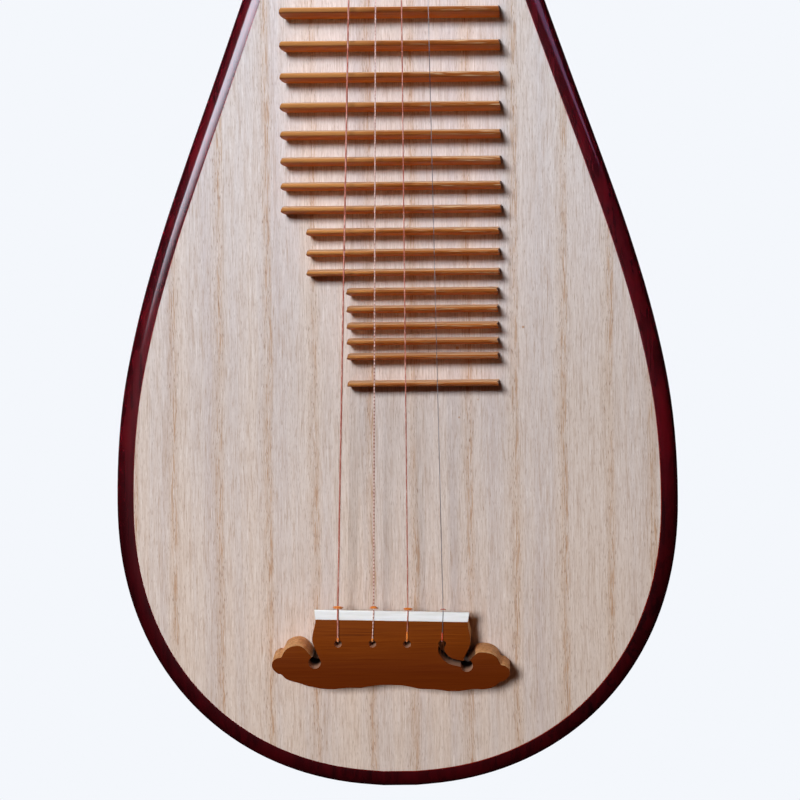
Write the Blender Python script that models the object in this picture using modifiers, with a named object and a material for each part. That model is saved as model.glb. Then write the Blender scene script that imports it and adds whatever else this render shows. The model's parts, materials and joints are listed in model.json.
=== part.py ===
"""Pipa: a four-stringed Chinese lute.

Frame: metres, the strings run along +Z, the front (soundboard side) faces -Y and
+X is to the right when seen from the front. The origin lies on the small flat
at the tail, on which the instrument is rested.
"""
import math

import bmesh
import bpy
from mathutils import Matrix, Vector

MM = 0.001
GAP = 0.3 * MM             # glue line or running gap between neighbouring pieces


def scaled(points):
    """Pairs in millimetres as pairs in metres."""
    return [(first * MM, second * MM) for first, second in points]


# ---------------------------------------------------------------- body dimensions
HALF_WIDTH = 152.5 * MM    # half of the body's greatest width
BELLY_Z = 155.0 * MM       # height of the greatest width
TAIL_POWER = 2.15          # superellipse exponent of the tail
TAIL_FLAT = 9.0 * MM       # half width of the flat at the tail
# body and neck above the widest place: (z, half width) in mm
FLANK = scaled([
    (155, 152.5), (166, 152.4), (209, 149.2), (253, 140.5), (296, 128.3),
    (340, 113.3), (383, 97.8), (427, 82.2), (470, 67.0), (510, 53.0),
    (545, 40.8), (575, 31.0), (605, 25.2), (650, 22.0), (829, 18.5)])
NECK_TOP_Z = 829.0 * MM
FINE_Z = (420 * MM, 610 * MM)      # stations lie closer together between these heights
FINE_SHARE = 0.6                   # their spacing there, as a share of the full step

FRONT_Y = -9.0 * MM        # soundboard's outer face
RIM_WIDTH = 9.7 * MM       # lacquered rim, seen from the front
RIM_WIDTH_NECK = 3.0 * MM
RIM_TAPER_Z = (430 * MM, 600 * MM)
RIM_ROUND = 8.0 * MM       # depth of the rim's rounded front
BAND_BACK_Y = 4.5 * MM     # the side is straight from the rim's round to here
BACK_Y = 36.0 * MM         # flat middle of the back
NECK_BACK_Y = 17.0 * MM    # back of the neck
BACK_TAPER_Z = (330 * MM, 610 * MM)
BACK_CURVE_SHARE = 0.72    # share of the half width taken by the back's curve
SWELL_POWER = 2.2          # superellipse exponent of the back's curve
WALL = 8.0 * MM            # thickness of the hollowed back
LEDGE = 5.0 * MM           # ledge that carries the soundboard
BOARD = 5.0 * MM           # soundboard thickness
BOARD_TOP_Z = 566.0 * MM
RECESS_MARGIN = 4.0 * MM   # how far the recess cutter stands out in front
CHAMBER_TOP_Z = 500.0 * MM
CHAMBER_EDGE_Y = -1.0 * MM  # the chamber's curve starts here

BRACES = [(196, 13), (312, 13), (430, 11)]     # (z, depth) in mm
BRACE_HALF_HEIGHT = 5 * MM
BRACE_END_ROOM = 8 * MM
BRACE_BEVEL = 1.0 * MM
SOUND_POSTS = [(-38, 150), (36, 236)]          # (x, z) in mm
SOUND_POST_R = 4.5 * MM

# ---------------------------------------------------------------- scene set-up
for old in list(bpy.data.objects):
    bpy.data.objects.remove(old, do_unlink=True)

PARTS = bpy.data.collections.new("pipa")
CUTTERS = bpy.data.collections.new("pipa_cutters")
bpy.context.scene.collection.children.link(PARTS)
bpy.context.scene.collection.children.link(CUTTERS)


def material(name, colour, roughness, metallic=0.0, coat=0.0):
    mat = bpy.data.materials.new(name)
    mat.use_nodes = True
    inputs = mat.node_tree.nodes["Principled BSDF"].inputs
    inputs["Base Color"].default_value = (*colour, 1.0)
    inputs["Roughness"].default_value = roughness
    inputs["Metallic"].default_value = metallic
    inputs["Coat Weight"].default_value = coat
    return mat


LACQUER = material("lacquered_wood", colour=(0.060, 0.004, 0.006), roughness=0.12, coat=0.8)
PAULOWNIA = material("paulownia", colour=(0.58, 0.47, 0.40), roughness=0.6)
BAMBOO = material("bamboo", colour=(0.32, 0.13, 0.03), roughness=0.4)
BAMBOO_DARK = material("bamboo_dark", colour=(0.14, 0.035, 0.008), roughness=0.38)
BONE = material("bone", colour=(0.82, 0.80, 0.76), roughness=0.35)
HORN = material("horn", colour=(0.70, 0.62, 0.48), roughness=0.3)
COPPER = material("copper_wound_string", colour=(0.62, 0.27, 0.18), roughness=0.35,
                  metallic=1.0)
STEEL = material("steel_string", colour=(0.45, 0.45, 0.47), roughness=0.3, metallic=1.0)
PEGWOOD = material("peg_wood", colour=(0.045, 0.006, 0.006), roughness=0.22, coat=0.5)
SPRUCE = material("brace_wood", colour=(0.62, 0.47, 0.30), roughness=0.7)


# ---------------------------------------------------------------- objects and modifiers
def add(name, mesh, mat=None, matrix=None, collection=PARTS):
    part = bpy.data.objects.new(name, mesh)
    collection.objects.link(part)
    if matrix is not None:
        part.matrix_world = matrix
    if mat is not None:
        mesh.materials.append(mat)
    return part


def cut(part, mesh, matrix=None):
    """Cut the part with a hidden helper object, named after its mesh."""
    cutter = add(mesh.name, mesh, None, matrix, CUTTERS)
    cutter.hide_render = True
    cutter.display_type = 'WIRE'
    difference = part.modifiers.new("Cut_" + cutter.name, 'BOOLEAN')
    difference.operation = 'DIFFERENCE'
    difference.solver = 'EXACT'
    difference.object = cutter


def smooth(part, angle=35.0):
    part.data.shade_smooth()
    part.data.set_sharp_from_angle(angle=math.radians(angle))


# ---------------------------------------------------------------- mesh helpers
def finish(name, work):
    """Turn a working bmesh into a mesh."""
    mesh = bpy.data.meshes.new(name)
    work.to_mesh(mesh)
    work.free()
    return mesh


def add_spline(curve, points, cyclic=False):
    path = curve.splines.new('POLY')
    path.points.add(len(points) - 1)
    for spline_point, place in zip(path.points, points):
        spline_point.co = (*place, 1.0)
    path.use_cyclic_u = cyclic


def curve_to_mesh(name, curve, matrix=None):
    """Turn a curve into one welded closed mesh, with the matrix applied."""
    temporary = bpy.data.objects.new(name + "_path", curve)
    bpy.context.scene.collection.objects.link(temporary)
    if matrix is not None:
        temporary.matrix_world = matrix
    bpy.context.view_layer.update()
    depsgraph = bpy.context.evaluated_depsgraph_get()
    mesh = bpy.data.meshes.new_from_object(temporary.evaluated_get(depsgraph))
    mesh.transform(temporary.matrix_world)
    work = bmesh.new()
    work.from_mesh(mesh)
    bmesh.ops.remove_doubles(work, verts=work.verts, dist=1e-6)
    bmesh.ops.recalc_face_normals(work, faces=work.faces)
    work.to_mesh(mesh)
    work.free()
    mesh.name = name
    bpy.data.objects.remove(temporary, do_unlink=True)
    bpy.data.curves.remove(curve)
    return mesh


def prism(name, loops, thickness, matrix):
    """Flat outline(s) in the matrix's own XY plane, thickened both ways along its Z."""
    curve = bpy.data.curves.new(name + "_outline", 'CURVE')
    curve.dimensions = '2D'
    curve.fill_mode = 'BOTH'
    curve.extrude = thickness / 2
    for loop in loops:
        add_spline(curve, [(x, y, 0.0) for x, y in loop], cyclic=True)
    return curve_to_mesh(name, curve, matrix)


# An outline drawn as seen from the front: its own (x, y, z) become world (x, z, -y).
FRONT = Matrix(((1, 0, 0, 0), (0, 0, -1, 0), (0, 1, 0, 0), (0, 0, 0, 1)))
QUARTER_X = Matrix.Rotation(math.radians(90), 4, 'X')


def plate(name, loops, y_front, y_back, frame=Matrix()):
    """Outline(s) of (x, z), as seen from the front, filled between two depths."""
    middle = Matrix.Translation((0, (y_front + y_back) / 2, 0))
    return prism(name, loops, y_back - y_front, frame @ middle @ FRONT)


def side_plane(x, y):
    """Plane across X: own x is world z, own y is height in front of y."""
    return Matrix(((0, 0, 1, x), (0, -1, 0, y), (1, 0, 0, 0), (0, 0, 0, 1)))


def cylinder(name, radius, length, segments):
    work = bmesh.new()
    bmesh.ops.create_cone(work, cap_ends=True, segments=segments, radius1=radius,
                          radius2=radius, depth=length)
    return finish(name, work)


def turned(name, profile, matrix, mat):
    """Profile of (radius, height), top to bottom, turned round the object's Z."""
    work = bmesh.new()
    verts = [work.verts.new((radius, 0.0, height)) for radius, height in profile]
    for upper, lower in zip(verts, verts[1:]):
        work.edges.new((upper, lower))
    if profile[0][0] > 0 and profile[-1][0] > 0:      # a ring: close the section
        work.edges.new((verts[-1], verts[0]))
    screw = add(name, finish(name, work), mat, matrix).modifiers.new("Screw", 'SCREW')
    screw.axis = 'Z'
    screw.steps = 20
    screw.render_steps = 20
    screw.use_merge_vertices = True
    screw.merge_threshold = 0.00001
    screw.use_smooth_shade = True


def smoothstep(value, low, high):
    share = min(1.0, max(0.0, (value - low) / (high - low)))
    return share * share * (3 - 2 * share)


def spline(points, per_span):
    """Open Catmull-Rom curve through the points."""
    out = []
    last = len(points) - 1
    for i in range(last):
        corners = (points[max(0, i - 1)], points[i], points[i + 1], points[min(last, i + 2)])
        for k in range(per_span):
            t = k / per_span
            out.append(tuple(
                0.5 * (2 * start + (end - before) * t
                       + (2 * before - 5 * start + 4 * end - after) * t * t
                       + (3 * start - before - 3 * end + after) * t ** 3)
                for before, start, end, after in zip(*corners)))
    out.append(points[-1])
    return out


def mirrored(half):
    """Closed loop from a right half that starts on the middle line."""
    return half + [(-x, z) for x, z in reversed(half[1:])]


# ---------------------------------------------------------------- outline
def chord_slope(k):
    (z_low, width_low), (z_high, width_high) = FLANK[k], FLANK[k + 1]
    return (width_high - width_low) / (z_high - z_low)


def flank_slope(k):
    if k == 0:
        return 0.0
    if k == len(FLANK) - 1:
        return chord_slope(k - 1)
    below = FLANK[k][0] - FLANK[k - 1][0]
    above = FLANK[k + 1][0] - FLANK[k][0]
    return (chord_slope(k - 1) * above + chord_slope(k) * below) / (below + above)


def flank(z):
    """Half width above the belly: cubic through the FLANK points."""
    if z >= FLANK[-1][0]:
        return FLANK[-1][1]
    i = max(k for k in range(len(FLANK) - 1) if z >= FLANK[k][0] - 1e-12)
    (z_low, width_low), (z_high, width_high) = FLANK[i], FLANK[i + 1]
    span = z_high - z_low
    t = (z - z_low) / span
    return ((2 * t ** 3 - 3 * t ** 2 + 1) * width_low
            + (t ** 3 - 2 * t ** 2 + t) * span * flank_slope(i)
            + (3 * t ** 2 - 2 * t ** 3) * width_high
            + (t ** 3 - t ** 2) * span * flank_slope(i + 1))


def flank_point(z):
    return Vector((flank(z), z))


def tail_point(angle):
    power = 2 / TAIL_POWER
    return Vector((HALF_WIDTH * math.sin(angle) ** power,
                   BELLY_Z - BELLY_Z * max(0.0, math.cos(angle)) ** power))


def inward_normal(before, after, fade=1.0):
    """Unit normal between two outline points; fade 0 makes it level."""
    along = (after - before).normalized()
    return Vector((-along.y, along.x * fade)).normalized()


def half_outline(tail_steps, top, step):
    """Points (x, z) and unit inward normals from the tail's flat to the top."""
    stations = []
    start = math.asin((TAIL_FLAT / HALF_WIDTH) ** (TAIL_POWER / 2))
    for i in range(tail_steps):
        angle = start + (math.pi / 2 - start) * i / tail_steps
        inward = inward_normal(tail_point(angle - 1e-4),
                               tail_point(min(angle + 1e-4, math.pi / 2)))
        stations.append((tail_point(angle), inward))
    stations[0][0].y = 0.0                  # bring the first point down to the flat

    heights = []
    z = BELLY_Z
    while z < top - step * 0.6:
        heights.append(z)
        z += step if (z < FINE_Z[0] or z > FINE_Z[1]) else step * FINE_SHARE
    heights.append(top)
    for z in heights:
        if z > BELLY_Z:
            before = flank_point(z - 1e-5)
        else:
            before = Vector((HALF_WIDTH, BELLY_Z - 1e-5))
        fade = 1 - smoothstep(z, *RIM_TAPER_Z)
        stations.append((flank_point(z), inward_normal(before, flank_point(z + 1e-5), fade)))
    return stations


BODY_STATIONS = half_outline(14, NECK_TOP_Z, 34 * MM)
CHAMBER_STATIONS = half_outline(9, CHAMBER_TOP_Z, 48 * MM)


def rim_width(z):
    return RIM_WIDTH + (RIM_WIDTH_NECK - RIM_WIDTH) * smoothstep(z, *RIM_TAPER_Z)


def curve_reach(point, inward):
    """Distance from an outline point, along its normal, to the flat of the back."""
    return min(point.x / max(1e-6, -inward.x), HALF_WIDTH) * BACK_CURVE_SHARE


def back_y(z):
    return BACK_Y + (NECK_BACK_Y - BACK_Y) * smoothstep(z, *BACK_TAPER_Z)


def swell(share):
    """Rise of the back's curve from its edge (share 0) to the flat (share 1)."""
    return (1 - (1 - share) ** SWELL_POWER) ** (1 / SWELL_POWER)


# ---------------------------------------------------------------- back and neck
def loft(name, stations, section):
    """Closed mirrored solid. section(point, inward) gives each station's
    (x, y, z) points with x > 0, running from the front to the back."""
    work = bmesh.new()
    right, left = [], []
    for point, inward in stations:
        places = section(point, inward)
        right.append([work.verts.new(place) for place in places])
        left.append([work.verts.new((-x, y, z)) for x, y, z in places])
    count = len(right[0])
    for i in range(len(right) - 1):
        low, high, low_left, high_left = right[i], right[i + 1], left[i], left[i + 1]
        for j in range(count - 1):
            work.faces.new((low[j], high[j], high[j + 1], low[j + 1]))
            work.faces.new((low_left[j], low_left[j + 1], high_left[j + 1], high_left[j]))
        work.faces.new((low[0], low_left[0], high_left[0], high[0]))
        work.faces.new((low[-1], high[-1], high_left[-1], low_left[-1]))
    for j in range(count - 1):
        work.faces.new((right[0][j], right[0][j + 1], left[0][j + 1], left[0][j]))
    work.faces.new(right[-1] + left[-1][::-1])
    bmesh.ops.recalc_face_normals(work, faces=work.faces)
    return finish(name, work)


def shell_section(point, inward):
    places = []
    width = rim_width(point.y)
    for k in range(6):                      # rounded rim, front to side
        angle = math.radians(90 * k / 5)
        edge = point + inward * (width * (1 - math.sin(angle)))
        places.append((edge.x, FRONT_Y + RIM_ROUND * (1 - math.cos(angle)), edge.y))
    places.append((point.x, BAND_BACK_Y, point.y))     # straight side
    reach = curve_reach(point, inward)
    for share in (0.03, 0.09, 0.2, 0.36, 0.56, 0.78, 1.0):
        edge = point + inward * (reach * share)
        rise = (back_y(edge.y) - BAND_BACK_Y) * swell(share)
        places.append((edge.x, BAND_BACK_Y + rise, edge.y))
    return places


def chamber_section(point, inward):
    width = rim_width(point.y) + LEDGE
    edge = point + inward * width
    places = [(edge.x, FRONT_Y - 1 * MM, edge.y), (edge.x, CHAMBER_EDGE_Y, edge.y)]
    reach = curve_reach(point, inward)
    for share in (0.06, 0.25, 0.55, 1.0):
        edge = point + inward * (width + (reach - width) * share)
        rise = (back_y(edge.y) - WALL - CHAMBER_EDGE_Y) * swell(share)
        places.append((edge.x, CHAMBER_EDGE_Y + rise, edge.y))
    return places


def board_loop(inset, top):
    """Closed front outline of the body at the rim's inner edge, moved in by inset."""
    right = []
    for point, inward in BODY_STATIONS:
        edge = point + inward * (rim_width(point.y) + inset)
        if edge.y > top - 2 * MM:
            break
        right.append((edge.x, edge.y))
    right.append((flank(top) - rim_width(top) - inset, top))
    return right + [(-x, z) for x, z in reversed(right)]


def build_back_shell():
    """Back, sides and neck in one, with a recess for the soundboard and a hollow."""
    shell = add("back_shell", loft("back_shell", BODY_STATIONS, shell_section), LACQUER)
    cut(shell, plate("recess_cutter", [board_loop(0.0, BOARD_TOP_Z + GAP)],
                     FRONT_Y - RECESS_MARGIN, FRONT_Y + BOARD + GAP))
    cut(shell, loft("chamber_cutter", CHAMBER_STATIONS, chamber_section))
    smooth(shell, 30)


def build_soundboard():
    add("soundboard", plate("soundboard", [board_loop(GAP, BOARD_TOP_Z)],
                            FRONT_Y, FRONT_Y + BOARD), PAULOWNIA)


# ---------------------------------------------------------------- inside
BOARD_BACK_Y = FRONT_Y + BOARD + GAP


def chamber_half(z):
    """Half width of the hollow at the soundboard, at height z above the belly."""
    edges = [point + inward * (rim_width(point.y) + LEDGE)
             for point, inward in CHAMBER_STATIONS]
    for low, high in zip(edges, edges[1:]):
        if low.y <= z <= high.y:
            return low.x + (high.x - low.x) * (z - low.y) / (high.y - low.y)
    return edges[-1].x


def build_brace(number, z, depth):
    """Bar across the back of the soundboard."""
    half = chamber_half(z + BRACE_HALF_HEIGHT) - BRACE_END_ROOM
    name = "brace_%d" % number
    work = bmesh.new()
    bmesh.ops.create_cube(work, size=1.0)
    place = Matrix.Translation((0, BOARD_BACK_Y + depth / 2, z))
    size = Matrix.Diagonal((2 * half, depth, 2 * BRACE_HALF_HEIGHT, 1.0))
    bmesh.ops.transform(work, matrix=place @ size, verts=work.verts)
    bevel = add(name, finish(name, work), SPRUCE).modifiers.new("Bevel", 'BEVEL')
    bevel.width = BRACE_BEVEL
    bevel.segments = 2
    bevel.limit_method = 'ANGLE'


def build_sound_post(number, x, z):
    """Dowel between the soundboard and the hollowed back."""
    name = "sound_post_%d" % number
    y_back = BACK_Y - WALL - GAP
    mesh = cylinder(name, SOUND_POST_R, y_back - BOARD_BACK_Y, 20)
    middle = Matrix.Translation((x, (BOARD_BACK_Y + y_back) / 2, z))
    smooth(add(name, mesh, SPRUCE, middle @ QUARTER_X))


# ---------------------------------------------------------------- frets
# twelve equal steps to the octave, measured from the saddle
SCALE_FOOT_Z = 100.5 * MM
SCALE = 726.0 * MM
XIANG_STEPS = range(2, 8)
PIN_STEPS = [*range(8, 30), 31]

# the pins grow slightly in height and in slope towards the head
PIN_HEIGHT, PIN_HEIGHT_Z, PIN_HEIGHT_GAIN = 12.4 * MM, 220 * MM, 0.0126
PIN_RUN, PIN_RUN_Z, PIN_RUN_GAIN, PIN_RUN_MAX = 2.2 * MM, 223 * MM, 0.018, 6.0 * MM
SHORT_PIN_RUN = 0.7 * MM   # added to the slope of the short pins
LAST_LONG_PIN = 17
PIN_RIM_ROOM = 6 * MM
PIN_UNDERCUT = 2.6 * MM
# (last pin of the group, left end x, right end x) in mm
PIN_ENDS = [(14, -60.8, 57.9), (LAST_LONG_PIN, -47.4, 56.7), (len(PIN_STEPS), -26.1, 55.7)]

# the xiang rise by XIANG_GAIN over XIANG_SPAN, from XIANG_Z up
XIANG_HEIGHT, XIANG_GAIN = 16.6 * MM, 0.35 * MM
XIANG_Z, XIANG_SPAN = 584 * MM, 163 * MM
XIANG_INSET = 1.2 * MM

PILLOW_Z, PILLOW_INSET = 564.0 * MM, 2.5 * MM
# (z from PILLOW_Z, height) in mm
PILLOW_PROFILE = [(3.8, 0), (3.8, 8), (2, 11), (-2, 11), (-3.8, 8), (-3.8, 0)]

NUT_Z, NUT_TOP, NUT_HALF_WIDTH = 824.5 * MM, 17.6 * MM, 17.6 * MM
# (z from NUT_Z, height)
NUT_PROFILE = [(4.0 * MM, 0), (4.0 * MM, 9 * MM), (2.0 * MM, NUT_TOP - 1.2 * MM), (0, NUT_TOP),
               (-2.5 * MM, NUT_TOP - 0.8 * MM), (-5.0 * MM, 9 * MM), (-5.0 * MM, 0)]


def fret_z(step):
    return SCALE_FOOT_Z + SCALE * 2 ** (-step / 12)


def wedge(name, z, profile, x_left, x_right, mat, undercut=0.0):
    """Bar along X on the front. Its section is (z offset, height) and the foot of
    its left end may be cut back."""
    x_middle = (x_left + x_right) / 2
    foot_y = FRONT_Y - GAP
    section = [(z + offset, height) for offset, height in profile]
    mesh = prism(name, [section], x_right - x_left, side_plane(x_middle, foot_y))
    if undercut:
        top = max(height for _, height in profile)
        for vert in mesh.vertices:
            if vert.co.x < x_middle:
                share = (foot_y - vert.co.y) / top
                vert.co.x += undercut * (1 - share) ** 1.3
    return add(name, mesh, mat)


def build_pin(number, step):
    """Low bamboo fret on the soundboard, sloping on the tail side."""
    z = fret_z(step)
    height = PIN_HEIGHT + PIN_HEIGHT_GAIN * (z - PIN_HEIGHT_Z)
    run = min(PIN_RUN_MAX, PIN_RUN + (z - PIN_RUN_Z) * PIN_RUN_GAIN)
    if number > LAST_LONG_PIN:
        run += SHORT_PIN_RUN
    room = flank(z) - rim_width(z) - PIN_RIM_ROOM
    x_left, x_right = next((left * MM, right * MM) for last, left, right in PIN_ENDS
                           if number <= last)
    profile = [(-0.1 * MM, 0), (0.7 * MM, height - 0.3 * MM), (0.4 * MM, height),
               (-0.3 * MM, height), (-0.6 * MM, height - 0.35 * MM),
               (-0.6 * MM - run, 0.5 * MM), (-0.6 * MM - run, 0)]
    wedge("pin_%02d" % number, z, profile, max(x_left, -room), min(x_right, room),
          BAMBOO, PIN_UNDERCUT)


def build_xiang(number, step):
    """Tall horn fret on the neck."""
    z = fret_z(step)
    height = XIANG_HEIGHT + XIANG_GAIN * (z - XIANG_Z) / XIANG_SPAN
    half = flank(z) - XIANG_INSET
    profile = [(5.0 * MM, 0), (4.6 * MM, 3 * MM), (2.6 * MM, height - 3 * MM),
               (1.0 * MM, height - 0.5 * MM), (0, height), (-1.2 * MM, height - 0.5 * MM),
               (-5.5 * MM, height - 5.5 * MM), (-11.5 * MM, height - 12.5 * MM),
               (-16 * MM, 0)]
    smooth(wedge("xiang_%d" % number, z, profile, -half, half, HORN), 25)


def build_phoenix_pillow():
    """Bar over the joint of soundboard and neck."""
    half = flank(BOARD_TOP_Z) - PILLOW_INSET
    wedge("phoenix_pillow", PILLOW_Z, scaled(PILLOW_PROFILE), -half, half, HORN)


def build_nut():
    smooth(wedge("nut", NUT_Z, NUT_PROFILE, -NUT_HALF_WIDTH, NUT_HALF_WIDTH, BONE), 25)


# ---------------------------------------------------------------- bridge
BRIDGE_X, BRIDGE_Z, BRIDGE_TILT = -3.3 * MM, 80.7 * MM, math.radians(1.5)
BRIDGE_TOP = 21.2 * MM     # bridge surface above the soundboard
SADDLE_TOP = 21.5 * MM
SADDLE_WIDTH = 83 * MM
CUT_MARGIN = 4.4 * MM      # how far the through cutters pass the bridge's top and foot
BRIDGE_FRAME = (Matrix.Translation((BRIDGE_X, 0, BRIDGE_Z))
                @ Matrix.Rotation(BRIDGE_TILT, 4, 'Y'))

# strings from the thickest to the thinnest, in mm
STRINGS = [(-31.6, -12.0, 0.48), (-12.4, -3.5, 0.40),      # (x at saddle, x at nut, radius)
           (5.9, 5.2, 0.33), (24.7, 13.7, 0.20)]
STRING_HOLES = [(-31.7, 84.3), (-13.3, 84.1), (5.2, 83.8), (24.0, 83.7)]   # (x, z)
STRING_HOLE_R = 2.1        # mm

# Outlines below are (x, z) in mm in the bridge's own frame.
# right half of the cloud outline, from the middle of the lower edge round the
# lobe to the notch beside the plate
CLOUD = [(0, -18.8), (5.5, -18.9), (11.2, -19.7), (16, -20.6), (22, -20.7), (26.5, -21.1),
         (31, -21.6), (36, -21.5), (39, -21.1), (42.4, -20.5), (47.5, -19.7), (52, -18.9),
         (55.8, -17.6), (58.6, -15.2), (60.7, -14.6), (62.9, -12.6), (63.8, -10.3),
         (63.1, -8.0), (61.0, -6.4), (58.9, -6.0), (58.0, -4.3), (56.5, -1.9), (53.8, -0.2),
         (50.0, 0.5), (46.9, -0.1), (44.7, -1.9), (42.6, -4.4)]
PLATE_SIDE = [(38.6, -4.6), (39.6, -2.6), (41.2, 0.8), (42.4, 4.5), (42.0, 8.5),
              (41.1, 12.4), (40.8, 15.6), (41.3, 21.0)]
SCROLL_LEFT, SCROLL_RIGHT, SCROLL_R = (-40.8, -7.5), (40.6, -7.7), 3.3
# groove from the thinnest string's hole to the right scroll, after its first point
SLOT_PATH = [(27.0, 0.0), (29.0, -3.2), (32.0, -5.2), (36.0, -6.1), (40.0, -7.0)]
SLOT_WIDTH = 3.4

# sections across the bridge: (z in its own frame, height above the soundboard) in mm
REBATE = [(15.5, 17.2), (15.5, 24), (26, 24), (26, -3), (14.5, -3), (14.5, 6.0), (19.0, 17.2)]
REBATE_WIDTH = 92 * MM
HOLLOW_ARC = [(6 + 12 * math.cos(angle), 10.5 * math.sin(angle) - 0.5)
              for angle in map(math.radians, (72, 90, 115, 140, 160, 180))]
HOLLOW = [(20, -3), (20, 9.5), *HOLLOW_ARC, (-6, -3)]
HOLLOW_WIDTH = 70 * MM
SADDLE = [(15.8, 17.5), (19.2, 17.5), (20.95, 21.0), (20.6, SADDLE_TOP / MM),
          (15.8, SADDLE_TOP / MM)]


def hand_cut(x, z):
    """The scrolls are cut by eye: the left one sits a little higher than the right one."""
    return x, z - math.copysign(smoothstep(abs(x), 43, 51), x)


def circle(centre, radius, segments=16):
    angles = [2 * math.pi * k / segments for k in range(segments)]
    return [(centre[0] + radius * math.cos(angle), centre[1] + radius * math.sin(angle))
            for angle in angles]


def stroke(path, width):
    """Outline of a groove of the given width along a path."""
    left, right = [], []
    for i, (x, z) in enumerate(path):
        before = Vector(path[max(0, i - 1)])
        after = Vector(path[min(len(path) - 1, i + 1)])
        along = (after - before).normalized()
        offset = Vector((-along.y, along.x)) * width / 2
        left.append((x + offset.x, z + offset.y))
        right.append((x - offset.x, z - offset.y))
    return left + right[::-1]


def on_bridge(x, z):
    """A world (x, z) place, in mm, in the bridge's own frame."""
    place = BRIDGE_FRAME.inverted() @ Vector((x * MM, 0, z * MM))
    return place.x / MM, place.z / MM


def bridge_bar(name, section, width):
    """Prism of the given width across the bridge, from one of its sections."""
    return prism(name, [scaled(section)], width, BRIDGE_FRAME @ side_plane(0, FRONT_Y))


def build_bridge():
    half = spline(CLOUD, 2) + spline(PLATE_SIDE, 2)
    outline = [hand_cut(x, z) for x, z in mirrored(half)]
    places = [on_bridge(x, z) for x, z in STRING_HOLES]
    holes = [circle(place, STRING_HOLE_R) for place in places]
    loops = [scaled(loop) for loop in [outline] + holes[:3]]
    bridge = add("bridge", plate("bridge", loops, FRONT_Y - BRIDGE_TOP, FRONT_Y - GAP,
                                 BRIDGE_FRAME), BAMBOO_DARK)
    # the thinnest string's hole opens into the slot, so it is cut with it
    for name, loop in [
            ("scroll_left_cutter", circle(SCROLL_LEFT, SCROLL_R, 20)),
            ("scroll_right_cutter", circle(SCROLL_RIGHT, SCROLL_R, 20)),
            ("string_slot_cutter", stroke(spline([places[3]] + SLOT_PATH, 3), SLOT_WIDTH)),
            ("slot_end_cutter", holes[3])]:
        cut(bridge, plate(name, [scaled(loop)], FRONT_Y - BRIDGE_TOP - CUT_MARGIN,
                          FRONT_Y + CUT_MARGIN, BRIDGE_FRAME))
    # the head side is undercut and hollow below, so that the strings can be tied
    cut(bridge, bridge_bar("rebate_cutter", REBATE, REBATE_WIDTH))
    cut(bridge, bridge_bar("hollow_cutter", HOLLOW, HOLLOW_WIDTH))


def build_saddle():
    add("bridge_saddle", bridge_bar("bridge_saddle", SADDLE, SADDLE_WIDTH), BONE)


# ---------------------------------------------------------------- pegbox
LEAN = math.radians(19.0)  # how far the pegbox leans back
LEAN_RUN = 95.0 * MM       # length over which the lean builds up
SPINE_START_Y = 4.0 * MM
PEGBOX_LENGTH = 142.0 * MM
PEGBOX_CHAMFER = 1.2 * MM  # at the front edges
PEGBOX_ROUND = 9 * MM      # at the back edges
SLOT_END_WALL = 10 * MM    # wood left below and above the slot
SLOT_FLOOR = 6 * MM        # wood left behind the slot


def spine(along):
    """Middle line of the pegbox and its lean, at a length along it."""
    y, z, steps = SPINE_START_Y, NECK_TOP_Z + GAP, 40
    for k in range(steps):
        lean = LEAN * smoothstep((k + 0.5) / steps * along, 0.0, LEAN_RUN)
        y += math.sin(lean) * along / steps
        z += math.cos(lean) * along / steps
    return Vector((0, y, z)), LEAN * smoothstep(along, 0.0, LEAN_RUN)


def spine_point(along, x, depth):
    """Point beside the spine: depth is measured towards the back."""
    centre, lean = spine(along)
    return Vector((x, centre.y + depth * math.cos(lean), centre.z - depth * math.sin(lean)))


def pegbox_half_width(along):
    return (18.5 + 1.7 * smoothstep(along, 0, 30 * MM)
            - 3.2 * smoothstep(along, 80 * MM, PEGBOX_LENGTH)) * MM


def pegbox_half_depth(along):
    return (13.0 + 2.0 * smoothstep(along, 0, 40 * MM)
            - 2.5 * smoothstep(along, 90 * MM, PEGBOX_LENGTH)) * MM


def tube(name, sections):
    """Closed solid through rings of points."""
    work = bmesh.new()
    rings = [[work.verts.new(place) for place in section] for section in sections]
    count = len(rings[0])
    for low, high in zip(rings, rings[1:]):
        for j in range(count):
            following = (j + 1) % count
            work.faces.new((low[j], low[following], high[following], high[j]))
    work.faces.new(rings[0][::-1])
    work.faces.new(rings[-1])
    bmesh.ops.recalc_face_normals(work, faces=work.faces)
    return finish(name, work)


def pegbox_section(along):
    width, depth = pegbox_half_width(along), pegbox_half_depth(along)
    outline = [(-width, -depth + PEGBOX_CHAMFER), (-width + PEGBOX_CHAMFER, -depth),
               (width - PEGBOX_CHAMFER, -depth), (width, -depth + PEGBOX_CHAMFER)]
    for side, start in ((1, 0), (-1, 90)):             # rounded back edges
        for k in range(4):
            angle = math.radians(start + 90 * k / 3)
            outline.append((side * (width - PEGBOX_ROUND) + PEGBOX_ROUND * math.cos(angle),
                            depth - PEGBOX_ROUND + PEGBOX_ROUND * math.sin(angle)))
    return [spine_point(along, x, y) for x, y in outline]


def slot_section(along):
    half = 11.5 * MM - 1.5 * MM * smoothstep(along, 100 * MM, 130 * MM)
    depth = pegbox_half_depth(along)
    front, floor = -depth - 6 * MM, depth - SLOT_FLOOR
    return [spine_point(along, x, y) for x, y in
            [(-half, front), (half, front), (half, floor), (-half, floor)]]


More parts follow.
